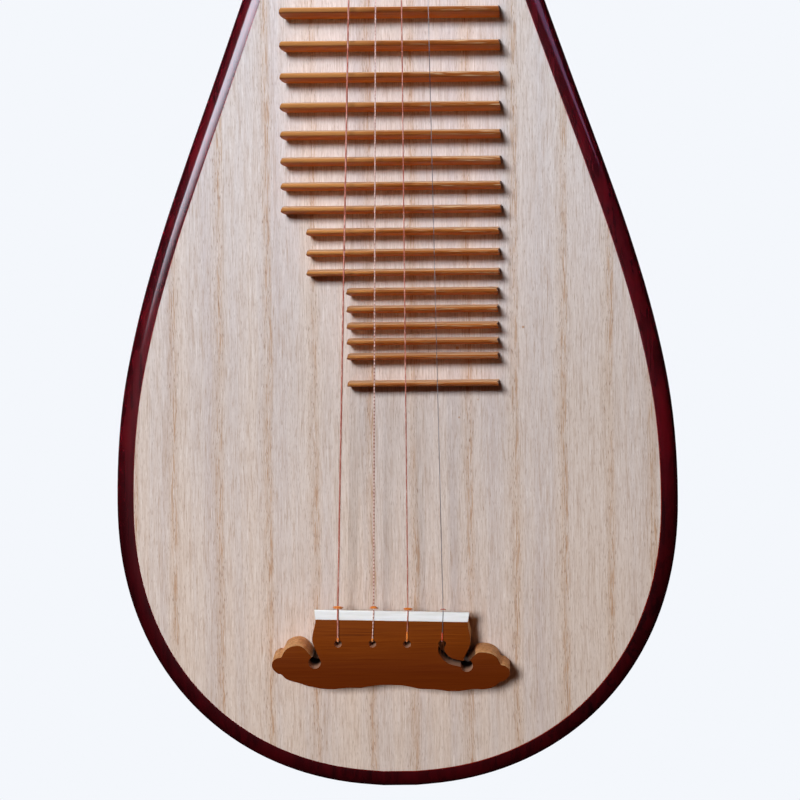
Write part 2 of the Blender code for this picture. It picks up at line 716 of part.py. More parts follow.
def build_pegbox():
    sections = [pegbox_section(PEGBOX_LENGTH * k / 12) for k in range(13)]
    pegbox = add("pegbox", tube("pegbox", sections), LACQUER)
    slot_length = PEGBOX_LENGTH - 2 * SLOT_END_WALL
    cut(pegbox, tube("slot_cutter", [slot_section(SLOT_END_WALL + slot_length * k / 10)
                                     for k in range(11)]))
    for i in range(len(PEG_STATIONS)):
        cut(pegbox, cylinder("peg_hole_%d_cutter" % (i + 1), PEG_R + PEG_CLEARANCE,
                             PEG_HOLE_LENGTH, 32),
            Matrix.Translation(peg_centre(i)) @ Matrix.Rotation(math.radians(90), 4, 'Y'))


# ---------------------------------------------------------------- pegs
PEG_STATIONS = [36 * MM, 64 * MM, 92 * MM, 120 * MM]   # along the pegbox
PEG_STRING = [0, 3, 1, 2]  # which string each peg carries, from the lowest peg
PEG_WINDING_X = [-7.5 * MM, 7.5 * MM, -3.4 * MM, 3.4 * MM]
PEG_R = 4.6 * MM
PEG_DEPTH = 1.5 * MM       # peg axis behind the spine
PEG_CLEARANCE = 0.25 * MM
PEG_HOLE_LENGTH = 60 * MM
PEG_HANDLE = 104.0 * MM
WINDING_HALF_LENGTH = 3.4 * MM
WINDING_CHAMFER = 0.3 * MM
# cap on the handle's end: (radius, height) in mm
CAP_PROFILE = [(0, 7), (3.2, 6.6), (6.0, 5.0), (7.6, 2.6), (8.6, 2.0), (9.2, 1.0),
               (9.0, 0), (0, 0)]


def peg_centre(i):
    return spine_point(PEG_STATIONS[i], 0.0, PEG_DEPTH)


def string_material(k):
    return STEEL if k == 3 else COPPER


def winding_radius(string_radius):
    return PEG_R + GAP + 2 * string_radius + 0.4 * MM


def build_peg(i):
    """Peg, its end cap and its string winding; the lowest peg's handle is on the left."""
    side = -1 if i % 2 == 0 else 1
    cheek = pegbox_half_width(PEG_STATIONS[i])
    start = cheek + 0.8 * MM                # handle starts here
    end = start + PEG_HANDLE
    profile = [(0, end), (11.2 * MM, end), (12.0 * MM, end - 2 * MM),
               (12.0 * MM, end - 7 * MM), (11.0 * MM, end - 9 * MM),
               (8.6 * MM, start + 48 * MM), (7.2 * MM, start + 14 * MM),
               (8.4 * MM, start + 10 * MM), (8.4 * MM, start + 5 * MM),
               (7.0 * MM, start + 1.5 * MM), (6.6 * MM, start), (PEG_R, start),
               (PEG_R, -cheek - 1.5 * MM), (PEG_R - 0.8 * MM, -cheek - 2.5 * MM),
               (0, -cheek - 2.5 * MM)]
    # the peg's own Z points out along its handle
    frame = (Matrix.Translation(peg_centre(i))
             @ Matrix.Rotation(math.radians(90 * side), 4, 'Y'))
    turned("peg_%d" % (i + 1), profile, frame, PEGWOOD)
    cap = [(radius, end + GAP + height) for radius, height in scaled(CAP_PROFILE)]
    turned("peg_cap_%d" % (i + 1), cap, frame, BONE)

    # turns of string round the peg, as one sleeve
    k = PEG_STRING[i]
    middle = PEG_WINDING_X[i] * side
    top, bottom = middle + WINDING_HALF_LENGTH, middle - WINDING_HALF_LENGTH
    inner, outer = PEG_R + GAP, winding_radius(STRINGS[k][2] * MM)
    ring = [(inner, top), (outer - WINDING_CHAMFER, top), (outer, top - WINDING_CHAMFER),
            (outer, bottom + WINDING_CHAMFER), (outer - WINDING_CHAMFER, bottom),
            (inner, bottom)]
    turned("string_winding_%d" % (k + 1), ring, frame, string_material(k))


# ---------------------------------------------------------------- head finial
# right half of the outline: (x, height above the pegbox) in mm
HEAD = [(0, 62), (8, 60.5), (13, 55), (15.5, 49.5), (22, 49), (28.5, 44.5), (31, 37),
        (28, 29.5), (22.5, 25.5), (25.5, 20), (24, 12.5), (18.5, 8), (15.6, 3.5), (15.0, 0)]
HEAD_HALF_DEPTH = 9.0 * MM
INLAY_HEIGHT = 36 * MM
INLAY_R = 10.0 * MM
INLAY_DEPTH = 3.2 * MM
INLAY_PROUD = 0.5 * MM     # how far the inlay stands out of the head


def build_head():
    """Flat finial on the pegbox, with a round inlay let into its front."""
    centre, lean = spine(PEGBOX_LENGTH + GAP)
    frame = Matrix.Translation(centre) @ Matrix.Rotation(-lean, 4, 'X')
    head = add("head_finial", plate("head_finial", [scaled(mirrored(spline(HEAD, 3)))],
                                    -HEAD_HALF_DEPTH, HEAD_HALF_DEPTH, frame), LACQUER)

    def inlay_frame(y):
        return frame @ Matrix.Translation((0, y, INLAY_HEIGHT)) @ QUARTER_X

    socket = INLAY_DEPTH - INLAY_PROUD + GAP
    cut(head, cylinder("inlay_cutter", INLAY_R + GAP, 2 * socket, 32),
        inlay_frame(-HEAD_HALF_DEPTH))
    add("finial_inlay", cylinder("finial_inlay", INLAY_R, INLAY_DEPTH, 32), BONE,
        inlay_frame(-HEAD_HALF_DEPTH - INLAY_PROUD + INLAY_DEPTH / 2))


# ---------------------------------------------------------------- strings
SADDLE_CREST = 20.9 * MM   # where the strings cross the saddle, above BRIDGE_Z
STRING_END_HEIGHT = 12 * MM  # the strings end this far above the soundboard, in the holes


def build_string(k):
    """String from its peg over nut and saddle down into its hole."""
    x_saddle, x_nut, radius = (size * MM for size in STRINGS[k])
    x_hole, z_hole = (place * MM for place in STRING_HOLES[k])
    peg = PEG_STRING.index(k)
    centre = peg_centre(peg)
    y_nut = FRONT_Y - GAP - NUT_TOP - radius - GAP
    y_saddle = FRONT_Y - SADDLE_TOP - radius - GAP
    z_saddle = BRIDGE_Z + SADDLE_CREST - (x_saddle - BRIDGE_X) * math.sin(BRIDGE_TILT)

    # the string meets its peg as a tangent to the front of the winding
    clear = winding_radius(radius) + radius + GAP
    nut = Vector((y_nut, NUT_Z))
    to_peg = Vector((centre.y, centre.z)) - nut
    angle = math.atan2(to_peg.x, to_peg.y) - math.asin(clear / to_peg.length)
    run = math.sqrt(to_peg.length ** 2 - clear ** 2)
    end = nut + Vector((math.sin(angle), math.cos(angle))) * run
    x_end = PEG_WINDING_X[peg]
    past_nut = 0.02                         # share of the way from the nut to the peg

    places = [(x_end, end.x, end.y),
              (x_nut + (x_end - x_nut) * past_nut, y_nut + (end.x - y_nut) * past_nut,
               NUT_Z + (end.y - NUT_Z) * past_nut + 0.4 * MM),
              (x_nut, y_nut, NUT_Z),
              (x_saddle, y_saddle, z_saddle),
              (x_hole, y_saddle, z_hole + 1.3 * MM),
              (x_hole, y_saddle + 2.5 * MM, z_hole + 0.8 * MM),
              (x_hole, FRONT_Y - STRING_END_HEIGHT, z_hole + 0.2 * MM)]
    name = "string_%d" % (k + 1)
    curve = bpy.data.curves.new(name, 'CURVE')
    curve.dimensions = '3D'
    curve.bevel_depth = radius
    curve.bevel_resolution = 2
    curve.use_fill_caps = True
    add_spline(curve, places)
    smooth(add(name, curve_to_mesh(name, curve), string_material(k)), 60)


# ---------------------------------------------------------------- assembly
build_back_shell()
build_soundboard()
for i, (z, depth) in enumerate(BRACES, 1):
    build_brace(i, z * MM, depth * MM)
for i, (x, z) in enumerate(SOUND_POSTS, 1):
    build_sound_post(i, x * MM, z * MM)
for i, step in enumerate(PIN_STEPS, 1):
    build_pin(i, step)
for i, step in enumerate(XIANG_STEPS, 1):
    build_xiang(i, step)
build_phoenix_pillow()
build_nut()
build_bridge()
build_saddle()
build_pegbox()
for i in range(len(PEG_STATIONS)):
    build_peg(i)
build_head()
for k in range(len(STRINGS)):
    build_string(k)
bpy.context.view_layer.update()
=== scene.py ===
"""Looks of the pipa: fine meshes, procedural materials, studio and camera.

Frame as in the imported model: metres, strings along +Z, soundboard facing -Y.
"""
import json
import math

import bmesh
import bpy
from mathutils import Matrix, Vector, noise

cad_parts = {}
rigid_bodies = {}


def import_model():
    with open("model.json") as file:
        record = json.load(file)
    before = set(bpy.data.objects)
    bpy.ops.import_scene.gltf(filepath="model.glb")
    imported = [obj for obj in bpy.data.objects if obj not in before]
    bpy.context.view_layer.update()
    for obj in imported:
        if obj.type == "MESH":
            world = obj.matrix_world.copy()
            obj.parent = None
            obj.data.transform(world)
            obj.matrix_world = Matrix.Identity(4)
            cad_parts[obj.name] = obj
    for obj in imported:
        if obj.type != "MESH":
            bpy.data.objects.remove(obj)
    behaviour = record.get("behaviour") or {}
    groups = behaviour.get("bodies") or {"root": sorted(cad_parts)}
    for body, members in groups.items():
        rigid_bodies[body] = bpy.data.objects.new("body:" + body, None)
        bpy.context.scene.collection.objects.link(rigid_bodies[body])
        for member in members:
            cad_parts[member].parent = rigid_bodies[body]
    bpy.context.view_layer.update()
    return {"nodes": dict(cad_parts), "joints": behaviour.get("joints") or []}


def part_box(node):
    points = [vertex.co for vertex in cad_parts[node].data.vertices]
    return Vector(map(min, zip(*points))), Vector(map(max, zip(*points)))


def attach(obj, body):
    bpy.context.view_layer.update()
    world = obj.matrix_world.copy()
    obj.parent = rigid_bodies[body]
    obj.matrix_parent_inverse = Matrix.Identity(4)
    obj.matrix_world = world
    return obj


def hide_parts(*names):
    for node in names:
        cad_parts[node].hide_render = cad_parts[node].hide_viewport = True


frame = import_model()
JOINTS = {j["child"]: j for j in frame["joints"]}

MM = 0.001
scene = bpy.context.scene

HALF_WIDTH, BELLY_Z, TAIL_POWER, TAIL_FLAT = 152.5 * MM, 155.0 * MM, 2.15, 9.0 * MM
FLANK = [(155, 152.5), (166, 152.4), (209, 149.2), (253, 140.5), (296, 128.3), (340, 113.3),
         (383, 97.8), (427, 82.2), (470, 67.0), (510, 53.0), (545, 40.8),
         (575, 31.0), (605, 25.2), (650, 22.0), (829, 18.5)]
FRONT_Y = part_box("soundboard")[0].y
BACK_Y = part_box("back_shell")[1].y
NECK_TOP_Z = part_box("back_shell")[1].z
RIM_WIDTH, RIM_WIDTH_NECK, RIM_ROUND = 9.7 * MM, 3.0 * MM, 8.0 * MM
BAND_BACK_Y, NECK_BACK_Y, BACK_FLAT_SHARE = 4.5 * MM, 17.0 * MM, 0.72
WALL, LEDGE, BOARD = 8.0 * MM, 5.0 * MM, 5.0 * MM
BOARD_TOP_Z, CHAMBER_TOP_Z = 566.0 * MM, 500.0 * MM
GAP = 0.3 * MM
SCALE_FOOT_Z, SCALE = 100.5 * MM, 726.0 * MM
XIANG_STEPS = [2, 3, 4, 5, 6, 7]
PIN_STEPS = list(range(8, 30)) + [31]
BRIDGE_X, BRIDGE_Z, BRIDGE_TILT = -3.3 * MM, 80.7 * MM, math.radians(1.5)
BRIDGE_TOP, SADDLE_TOP = 21.2 * MM, 21.5 * MM
NUT_Z, NUT_TOP = 824.5 * MM, 17.6 * MM
STRINGS = [(-31.6, -12.0, 0.48), (-12.4, -3.5, 0.40), (5.9, 5.2, 0.33), (24.7, 13.7, 0.20)]
STRING_HOLES = [(-31.7, 84.3), (-13.3, 84.1), (5.2, 83.8), (24.0, 83.7)]
LEAN, LEAN_RUN, PEGBOX_LENGTH = math.radians(19.0), 95.0 * MM, 142.0 * MM
PEG_STATIONS = [36 * MM, 64 * MM, 92 * MM, 120 * MM]
PEG_STRING = [0, 3, 1, 2]
PEG_WINDING_X = [-7.5 * MM, 7.5 * MM, -3.4 * MM, 3.4 * MM]
PEG_R, PEG_HANDLE = 4.6 * MM, 104.0 * MM


def smoothstep(x, a, b):
    t = min(1.0, max(0.0, (x - a) / (b - a)))
    return t * t * (3 - 2 * t)


def srgb(r, g, b):
    """Linear colour of an sRGB triple in 0..255."""
    def one(c):
        c /= 255
        return c / 12.92 if c <= 0.04045 else ((c + 0.055) / 1.055) ** 2.4
    return (one(r), one(g), one(b))


def bridge_place(u, v):
    """World (x, z), in mm, of a place on the bridge."""
    c, t = math.cos(BRIDGE_TILT), math.sin(BRIDGE_TILT)
    return (BRIDGE_X / MM + u * c + v * t, BRIDGE_Z / MM - u * t + v * c)


SCROLL_L = (*bridge_place(-40.8, -7.5), 3.7)
SCROLL_R = (*bridge_place(40.6, -7.7), 3.7)
SLOT_SPOTS = [(*bridge_place(u, v), 2.3) for u, v in
              [(27.0, 1.2), (27.6, -0.8), (28.6, -2.6), (30.2, -4.2), (32.2, -5.3), (34.4, -6.0), (36.8, -6.4)]]


# ================================================================ materials
class Mat:
    """A Principled material and short names for the nodes that feed it."""

    def __init__(self, name, rough=0.5, metal=0.0, coat=0.0, coat_rough=0.05, spec=0.5):
        self.m = bpy.data.materials.new(name)
        self.m.use_nodes = True
        self.t = self.m.node_tree
        self.b = self.t.nodes["Principled BSDF"]
        self.b.inputs["Roughness"].default_value = rough
        self.b.inputs["Metallic"].default_value = metal
        self.b.inputs["Coat Weight"].default_value = coat
        self.b.inputs["Coat Roughness"].default_value = coat_rough
        self.b.inputs["Specular IOR Level"].default_value = spec
        self.tc = self.t.nodes.new("ShaderNodeTexCoord")
        self.p = self.vscale(self.tc.outputs["Object"], (1000, 1000, 1000))   # mm
        sep = self.t.nodes.new("ShaderNodeSeparateXYZ")
        self.t.links.new(self.p, sep.inputs[0])
        self.x, self.y, self.z = sep.outputs
        nsep = self.t.nodes.new("ShaderNodeSeparateXYZ")
        self.t.links.new(self.tc.outputs["Normal"], nsep.inputs[0])
        self.nx, self.ny, self.nz = nsep.outputs

    def put(self, socket, value):
        if isinstance(value, bpy.types.NodeSocket):
            self.t.links.new(value, socket)
        elif hasattr(value, "__len__"):
            n = len(socket.default_value)
            v = list(value) + [1.0] * (n - len(value))
            socket.default_value = v[:n]
        else:
            socket.default_value = value

    def math(self, op, a, b=0.0, c=0.0, clamp=False):
        n = self.t.nodes.new("ShaderNodeMath")
        n.operation = op
        n.use_clamp = clamp
        for s, v in zip(n.inputs, (a, b, c)):
            self.put(s, v)
        return n.outputs[0]

    def add(self, a, b):
        return self.math("ADD", a, b)

    def mul(self, a, b):
        return self.math("MULTIPLY", a, b)

    def vscale(self, v, s):
        n = self.t.nodes.new("ShaderNodeVectorMath")
        n.operation = "MULTIPLY"
        self.put(n.inputs[0], v)
        n.inputs[1].default_value = s
        return n.outputs[0]

    def vec(self, x, y, z):
        n = self.t.nodes.new("ShaderNodeCombineXYZ")
        for s, v in zip(n.inputs, (x, y, z)):
            self.put(s, v)
        return n.outputs[0]

    def noise(self, v, scale=1.0, detail=2.0, rough=0.5, distort=0.0):
        n = self.t.nodes.new("ShaderNodeTexNoise")
        self.put(n.inputs["Vector"], v)
        n.inputs["Scale"].default_value = scale
        n.inputs["Detail"].default_value = detail
        n.inputs["Roughness"].default_value = rough
        n.inputs["Distortion"].default_value = distort
        return n.outputs[0]

    def voronoi(self, v, scale=1.0, feature="F1"):
        n = self.t.nodes.new("ShaderNodeTexVoronoi")
        n.feature = feature
        self.put(n.inputs["Vector"], v)
        n.inputs["Scale"].default_value = scale
        return n.outputs[0]

    def step(self, v, a, b):
        """0 at a, 1 at b, smooth between them (a may be above b)."""
        n = self.t.nodes.new("ShaderNodeMapRange")
        n.interpolation_type = "SMOOTHSTEP"
        self.put(n.inputs["Value"], v)
        lo, hi, out = (a, b, (0.0, 1.0)) if a < b else (b, a, (1.0, 0.0))
        n.inputs["From Min"].default_value = lo
        n.inputs["From Max"].default_value = hi
        n.inputs["To Min"].default_value = out[0]
        n.inputs["To Max"].default_value = out[1]
        return n.outputs[0]

    def ramp(self, fac, stops, interp="LINEAR"):
        n = self.t.nodes.new("ShaderNodeValToRGB")
        n.color_ramp.interpolation = interp
        e = n.color_ramp.elements
        e[0].position, e[1].position = stops[0][0], stops[-1][0]
        for pos, _ in stops[1:-1]:
            e.new(pos)
        for el, (_, c) in zip(e, stops):
            el.color = (*c, 1.0) if hasattr(c, "__len__") else (c, c, c, 1.0)
        self.put(n.inputs[0], fac)
        return n.outputs[0]

    def mix(self, fac, a, b, mode="MIX"):
        n = self.t.nodes.new("ShaderNodeMix")
        n.data_type = "RGBA"
        n.blend_type = mode
        self.put(n.inputs[0], fac)
        self.put(n.inputs[6], a)
        self.put(n.inputs[7], b)
        return n.outputs[2]

    def bump(self, height, distance, strength=1.0, normal=None):
        n = self.t.nodes.new("ShaderNodeBump")
        n.inputs["Strength"].default_value = strength
        n.inputs["Distance"].default_value = distance
        self.put(n.inputs["Height"], height)
        if normal is not None:
            self.put(n.inputs["Normal"], normal)
        return n.outputs[0]

    def done(self, color=None, rough=None, normal=None):
        if color is not None:
            self.put(self.b.inputs["Base Color"], color)
        if rough is not None:
            self.put(self.b.inputs["Roughness"], rough)
        if normal is not None:
            self.put(self.b.inputs["Normal"], normal)
        return self.m


def soundboard_material():
    k = Mat("paulownia_board", rough=0.66, spec=0.16)
    # the grain wanders slowly along the length of the board
    w1 = k.noise(k.vec(k.mul(k.x, 1 / 150), 0, k.mul(k.z, 1 / 85)), 1, 2)
    w2 = k.noise(k.vec(k.mul(k.x, 1 / 26), 3.1, k.mul(k.z, 1 / 21)), 1, 2)
    xw = k.add(k.add(k.x, k.mul(k.add(w1, -0.5), 4.0)), k.mul(k.add(w2, -0.5), 0.2))
    # growth rings: places across the board of the brown latewood lines, in mm
    rings = [-141.5, -120.1, -95.2, -68.7, -43.8, -13.4, 9.9, 39.7, 65.1, 91.7, 116.6, 139.0]
    ring_sum, soft_sum = None, None
    for i, r in enumerate(rings):
        d = k.add(xw, -r)
        near = k.mul(k.step(d, -3.6, -0.6), k.step(d, 2.2, 0.3))
        wide = k.mul(k.step(d, -7.0, -1.0), k.step(d, 3.0, 0.0))
        ring_sum = near if ring_sum is None else k.add(ring_sum, near)
        soft_sum = wide if soft_sum is None else k.add(soft_sum, wide)
    streak = k.noise(k.vec(k.mul(xw, 1 / 0.50), 7.7, k.mul(k.z, 1 / 12)), 1, 2, 0.6)
    patch = k.noise(k.vec(k.mul(xw, 1 / 14), 9.3, k.mul(k.z, 1 / 60)), 1, 2, 0.6)
    ring = k.mul(k.mul(ring_sum, k.step(streak, 0.47, 0.60)), k.step(patch, 0.26, 0.56))
    # broad bands, warm against lavender grey
    band = k.noise(k.vec(k.mul(xw, 1 / 11), 1.7, k.mul(k.z, 1 / 520)), 1, 3, 0.55)
    cloud = k.noise(k.vec(k.mul(k.x, 1 / 90), 4.4, k.mul(k.z, 1 / 130)), 1, 2)
    col = k.ramp(band, [(0.30, srgb(200, 184, 178)), (0.44, srgb(206, 190, 182)),
                        (0.56, srgb(210, 192, 181)), (0.72, srgb(213, 194, 181))])
    col = k.mix(k.mul(k.step(cloud, 0.45, 0.75), 0.24), col, srgb(204, 191, 189))
    col = k.mix(k.mul(soft_sum, 0.20), col, srgb(190, 156, 122))
    # fibres: long thin darker and lighter threads
    fib = k.noise(k.vec(k.mul(xw, 1 / 0.50), 2.2, k.mul(k.z, 1 / 11)), 1, 3, 0.65)
    fib2 = k.noise(k.vec(k.mul(xw, 1 / 1.7), 5.2, k.mul(k.z, 1 / 75)), 1, 3, 0.6)
    fib3 = k.noise(k.vec(k.mul(xw, 1 / 0.8), 6.6, k.mul(k.z, 1 / 20)), 1, 2, 0.6)
    col = k.mix(k.mul(k.step(fib, 0.50, 0.74), 0.80), col, srgb(174, 146, 126))
    col = k.mix(k.mul(k.step(fib, 0.46, 0.26), 0.62), col, srgb(232, 219, 212))
    col = k.mix(k.mul(k.step(fib3, 0.54, 0.74), 0.60), col, srgb(178, 150, 132))
    col = k.mix(k.mul(k.step(fib3, 0.42, 0.24), 0.34), col, srgb(228, 214, 208))
    col = k.mix(k.mul(k.step(fib2, 0.52, 0.76), 0.44), col, srgb(184, 158, 140))
    col = k.mix(k.mul(k.step(fib2, 0.44, 0.24), 0.28), col, srgb(222, 207, 198))
    col = k.mix(k.mul(ring, 0.62), col, srgb(172, 124, 82))
    # pores: short dark ticks, thicker along the rings
    por = k.noise(k.vec(k.mul(xw, 1 / 0.30), 8.8, k.mul(k.z, 1 / 3.4)), 1, 1, 0.5)
    tick = k.mul(k.step(por, 0.58, 0.72), k.add(k.mul(soft_sum, 0.40), 0.36))
    col = k.mix(tick, col, srgb(140, 106, 84))
    # a few resin specks
    spk = k.voronoi(k.vec(k.mul(k.x, 1 / 38), 0.3, k.mul(k.z, 1 / 38)), 1)
    col = k.mix(k.mul(k.step(spk, 0.030, 0.018), 0.7), col, srgb(168, 112, 62))
    # painted shade on the board under the scroll's throat, where the bridge shades it
    dx, dz = k.add(k.x, -37.1), k.add(k.z, -69.6)
    notch_shade = k.step(k.math("SQRT", k.add(k.mul(dx, dx), k.mul(dz, dz))), 5.0, 3.4)
    col = k.mix(k.mul(notch_shade, 0.9), col, srgb(66, 42, 34))
    h = k.add(k.mul(fib, 0.6), k.mul(por, -0.25))
    return k.done(col, k.ramp(fib2, [(0.3, 0.60), (0.7, 0.72)]), k.bump(h, 0.00006, 0.35))


def lacquer_material():
    k = Mat("maroon_lacquer", rough=0.42, coat=1.0, coat_rough=0.05, spec=0.04)
    k.b.inputs["Coat IOR"].default_value = 1.5
    # wood figure under the coloured lacquer, running along the body
    g = k.noise(k.vec(k.mul(k.x, 1 / 3.4), k.mul(k.y, 1 / 3.4), k.mul(k.z, 1 / 70)), 1, 3, 0.55, 0.3)
    c = k.noise(k.vec(k.mul(k.x, 1 / 26), k.mul(k.y, 1 / 26), k.mul(k.z, 1 / 34)), 1, 3, 0.55)
    col = k.ramp(g, [(0.30, srgb(36, 2, 5)), (0.50, srgb(48, 3, 7)), (0.72, srgb(62, 4, 10))])
    col = k.mix(k.mul(k.step(c, 0.42, 0.72), 0.40), col, srgb(76, 4, 10))
    # mottled towards the tail on the right, where the figure is liveliest
    low = k.mul(k.step(k.z, 190.0, 60.0), k.step(k.x, 20.0, 110.0))
    blot = k.noise(k.vec(k.mul(k.x, 1 / 6), k.mul(k.y, 1 / 6), k.mul(k.z, 1 / 9)), 1, 3, 0.6, 0.5)
    col = k.mix(k.mul(k.mul(low, k.step(blot, 0.50, 0.62)), 0.75), col, srgb(20, 2, 4))
    # thinner, redder lacquer where the front edge rolls over to the side, and a dark
    # red line where the rim meets the soundboard
    roll = k.mul(k.step(k.y, -4.2, -2.0), k.step(k.y, 6.5, 1.0))
    col = k.mix(k.mul(roll, 0.30), col, srgb(86, 6, 10))
    joint = k.mul(k.step(k.y, -8.985, -8.998), k.step(k.z, 566.0, 540.0))
    bright = k.mul(k.step(k.z, 230.0, 120.0), k.step(k.x, -60.0, 60.0))
    col = k.mix(k.mul(joint, 0.8), col, k.mix(bright, srgb(104, 12, 14), srgb(176, 44, 18)))
    peel = k.noise(k.p, 0.16, 2, 0.5)
    dust = k.noise(k.p, 2.4, 2, 0.5)
    nrm = k.bump(peel, 0.00008, 0.45)
    m = k.done(col, k.ramp(dust, [(0.35, 0.38), (0.70, 0.50)]))
    k.put(k.b.inputs["Coat Normal"], nrm)
    return m


def bamboo_material(name="bamboo_pin"):
    k = Mat(name, rough=0.50, spec=0.07)
    # fibre bundles run along the bar
    f1 = k.noise(k.vec(k.mul(k.x, 1 / 55), k.mul(k.y, 1 / 0.55), k.mul(k.z, 1 / 0.45)), 1, 3, 0.6)
    f2 = k.noise(k.vec(k.mul(k.x, 1 / 22), k.mul(k.y, 1 / 1.9), k.mul(k.z, 1 / 1.6)), 1, 3, 0.6)
    blot = k.noise(k.vec(k.mul(k.x, 1 / 16), k.mul(k.y, 1 / 9), k.mul(k.z, 1 / 14)), 1, 2, 0.5)
    # sloping tail side: warm golden brown
    col = k.ramp(f1, [(0.28, srgb(172, 85, 6)), (0.46, srgb(205, 108, 9)),
                      (0.58, srgb(221, 122, 13)), (0.76, srgb(237, 148, 24))])
    col = k.mix(k.mul(k.step(f2, 0.42, 0.72), 0.50), col, srgb(169, 81, 6))
    col = k.mix(k.mul(k.step(blot, 0.50, 0.74), 0.35), col, srgb(224, 146, 40))
    # painted shade: a dark band where the crest bends down into the slope, facing away from the light; lighter towards
    # the foot
    crease_shade = k.mul(k.step(k.mul(k.ny, -1.0), 0.36, 0.44), k.step(k.mul(k.ny, -1.0), 0.66, 0.52))
    col = k.mix(k.mul(crease_shade, 0.55), col, srgb(112, 46, 8))
    # the skin on the crest is paler and streaked, the head side is bare and tan
    crest = k.step(k.mul(k.ny, -1.0), 0.50, 0.80)
    skin = k.ramp(f1, [(0.30, srgb(128, 64, 23)), (0.50, srgb(152, 82, 33)), (0.72, srgb(186, 116, 60))])
    skin = k.mix(k.mul(k.step(f2, 0.50, 0.74), 0.5), skin, srgb(126, 60, 22))
    skin = k.mix(k.mul(k.step(k.z, 320.0, 470.0), 0.42), skin, srgb(122, 52, 18))
    # painted light: the crest is painted paler towards its left end, the side the lamp is on
    skin = k.mix(k.mul(k.step(k.x, 0.0, -28.0), 0.50), skin, srgb(214, 150, 86))
    # painted highlight: pale glints along the right part of the crest
    painted_glint = k.noise(k.vec(k.mul(k.x, 1 / 15), k.mul(k.y, 1 / 0.6), k.mul(k.z, 1 / 0.5)), 1, 1, 0.5)
    skin = k.mix(k.mul(k.mul(k.step(painted_glint, 0.58, 0.68), k.step(k.x, 0.0, 30.0)), 0.6), skin, srgb(226, 186, 140))
    col = k.mix(crest, col, skin)
    head = k.step(k.nz, 0.35, 0.75)
    tan = k.ramp(f2, [(0.3, srgb(196, 142, 96)), (0.7, srgb(220, 174, 132))])
    col = k.mix(head, col, tan)
    # painted shade: the right end faces away from the light and is painted dark; the left end is a little darker too
    right = k.step(k.nx, 0.5, 0.9)
    left = k.step(k.nx, -0.5, -0.9)
    col = k.mix(k.mul(right, 0.85), col, srgb(84, 38, 14))
    col = k.mix(k.mul(left, 0.35), col, srgb(120, 62, 26))
    return k.done(col, k.ramp(f2, [(0.3, 0.40), (0.7, 0.54)]), k.bump(f1, 0.00008, 0.35))


def bridge_material():
    k = Mat("bamboo_bridge", rough=0.60, spec=0.03)
    wob = k.noise(k.vec(k.mul(k.x, 1 / 30), 0.5, k.mul(k.z, 1 / 12)), 1, 2)
    zw = k.add(k.z, k.mul(k.add(wob, -0.5), 1.6))
    f1 = k.noise(k.vec(k.mul(k.x, 1 / 40), k.mul(k.y, 1 / 3), k.mul(zw, 1 / 0.55)), 1, 3, 0.6)
    f2 = k.noise(k.vec(k.mul(k.x, 1 / 60), 6.1, k.mul(zw, 1 / 1.9)), 1, 3, 0.6)
    f3 = k.noise(k.vec(k.mul(k.x, 1 / 46), 2.9, k.mul(zw, 1 / 0.8)), 1, 2, 0.6)
    col = k.ramp(f1, [(0.26, srgb(98, 42, 5)), (0.48, srgb(114, 51, 7)),
                      (0.62, srgb(123, 58, 11)), (0.80, srgb(138, 71, 19))])
    col = k.mix(k.mul(k.step(f2, 0.48, 0.74), 0.36), col, srgb(92, 35, 4))
    # dark fibre lines, strongest on the plate
    col = k.mix(k.mul(k.mul(k.step(f3, 0.56, 0.70), k.step(k.z, 70.0, 90.0)), 0.60), col, srgb(66, 26, 6))
    col = k.mix(k.mul(k.step(k.z, 88.0, 68.0), 0.72), col, srgb(86, 29, 3))
    col = k.mix(k.mul(k.step(k.z, 86.0, 99.0), 0.22), col, srgb(138, 74, 32))
    # cut side walls: pale, with the bundles' dark end grain
    por = k.voronoi(k.vec(k.mul(k.x, 1.0), k.mul(k.y, 0.9), k.mul(k.z, 1.0)), 1.15)
    wall = k.ramp(k.noise(k.vec(k.mul(k.x, 1 / 2.5), k.mul(k.y, 1 / 2.5), k.mul(k.z, 1 / 2.5)), 1, 3, 0.6),
                  [(0.3, srgb(214, 150, 96)), (0.7, srgb(246, 194, 140))])
    wall = k.mix(k.mul(k.step(por, 0.36, 0.18), 0.60), wall, srgb(150, 92, 54))
    # inside the holes and the slot: painted shade, dark deeper in, with a pink-tan lip at the top
    hole_shade = None
    spots = [(x, z, 2.7) for x, z in STRING_HOLES] + [SCROLL_L, SCROLL_R] + SLOT_SPOTS

    def near_spot(x, z, r, soft=0.25):
        dx, dz = k.add(k.x, -x), k.add(k.z, -z)
        return k.step(k.math("SQRT", k.add(k.mul(dx, dx), k.mul(dz, dz))), r, r - soft)

    for x, z, r in spots:
        m = near_spot(x, z, r)
        hole_shade = m if hole_shade is None else k.math("MAXIMUM", hole_shade, m)
    lip = k.step(k.y, FRONT_Y / MM - BRIDGE_TOP / MM + 13.0, FRONT_Y / MM - BRIDGE_TOP / MM + 3.5)
    wall = k.mix(hole_shade, wall, k.mix(lip, srgb(22, 10, 8), srgb(206, 158, 132)))
    # painted shade: the narrow throats beside the plate and the slot's upper end are painted dark, as they lie in
    # shadow
    throat_shade = k.math("MAXIMUM", near_spot(SCROLL_R[0] + 0.8, SCROLL_R[1] + 4.4, 4.6, 1.2),
                    near_spot(SCROLL_L[0] + 1.2, SCROLL_L[1] + 5.0, 4.6, 2.4))
    wall = k.mix(k.mul(throat_shade, 0.85), wall, srgb(78, 50, 40))
    wall = k.mix(near_spot(*SLOT_SPOTS[0][:2], 3.4, 0.8), wall, srgb(24, 11, 8))
    side = k.step(k.mul(k.ny, -1.0), 0.70, 0.40)
    col = k.mix(side, col, wall)
    return k.done(col, k.ramp(f2, [(0.3, 0.50), (0.7, 0.66)]), k.bump(f1, 0.00008, 0.35))


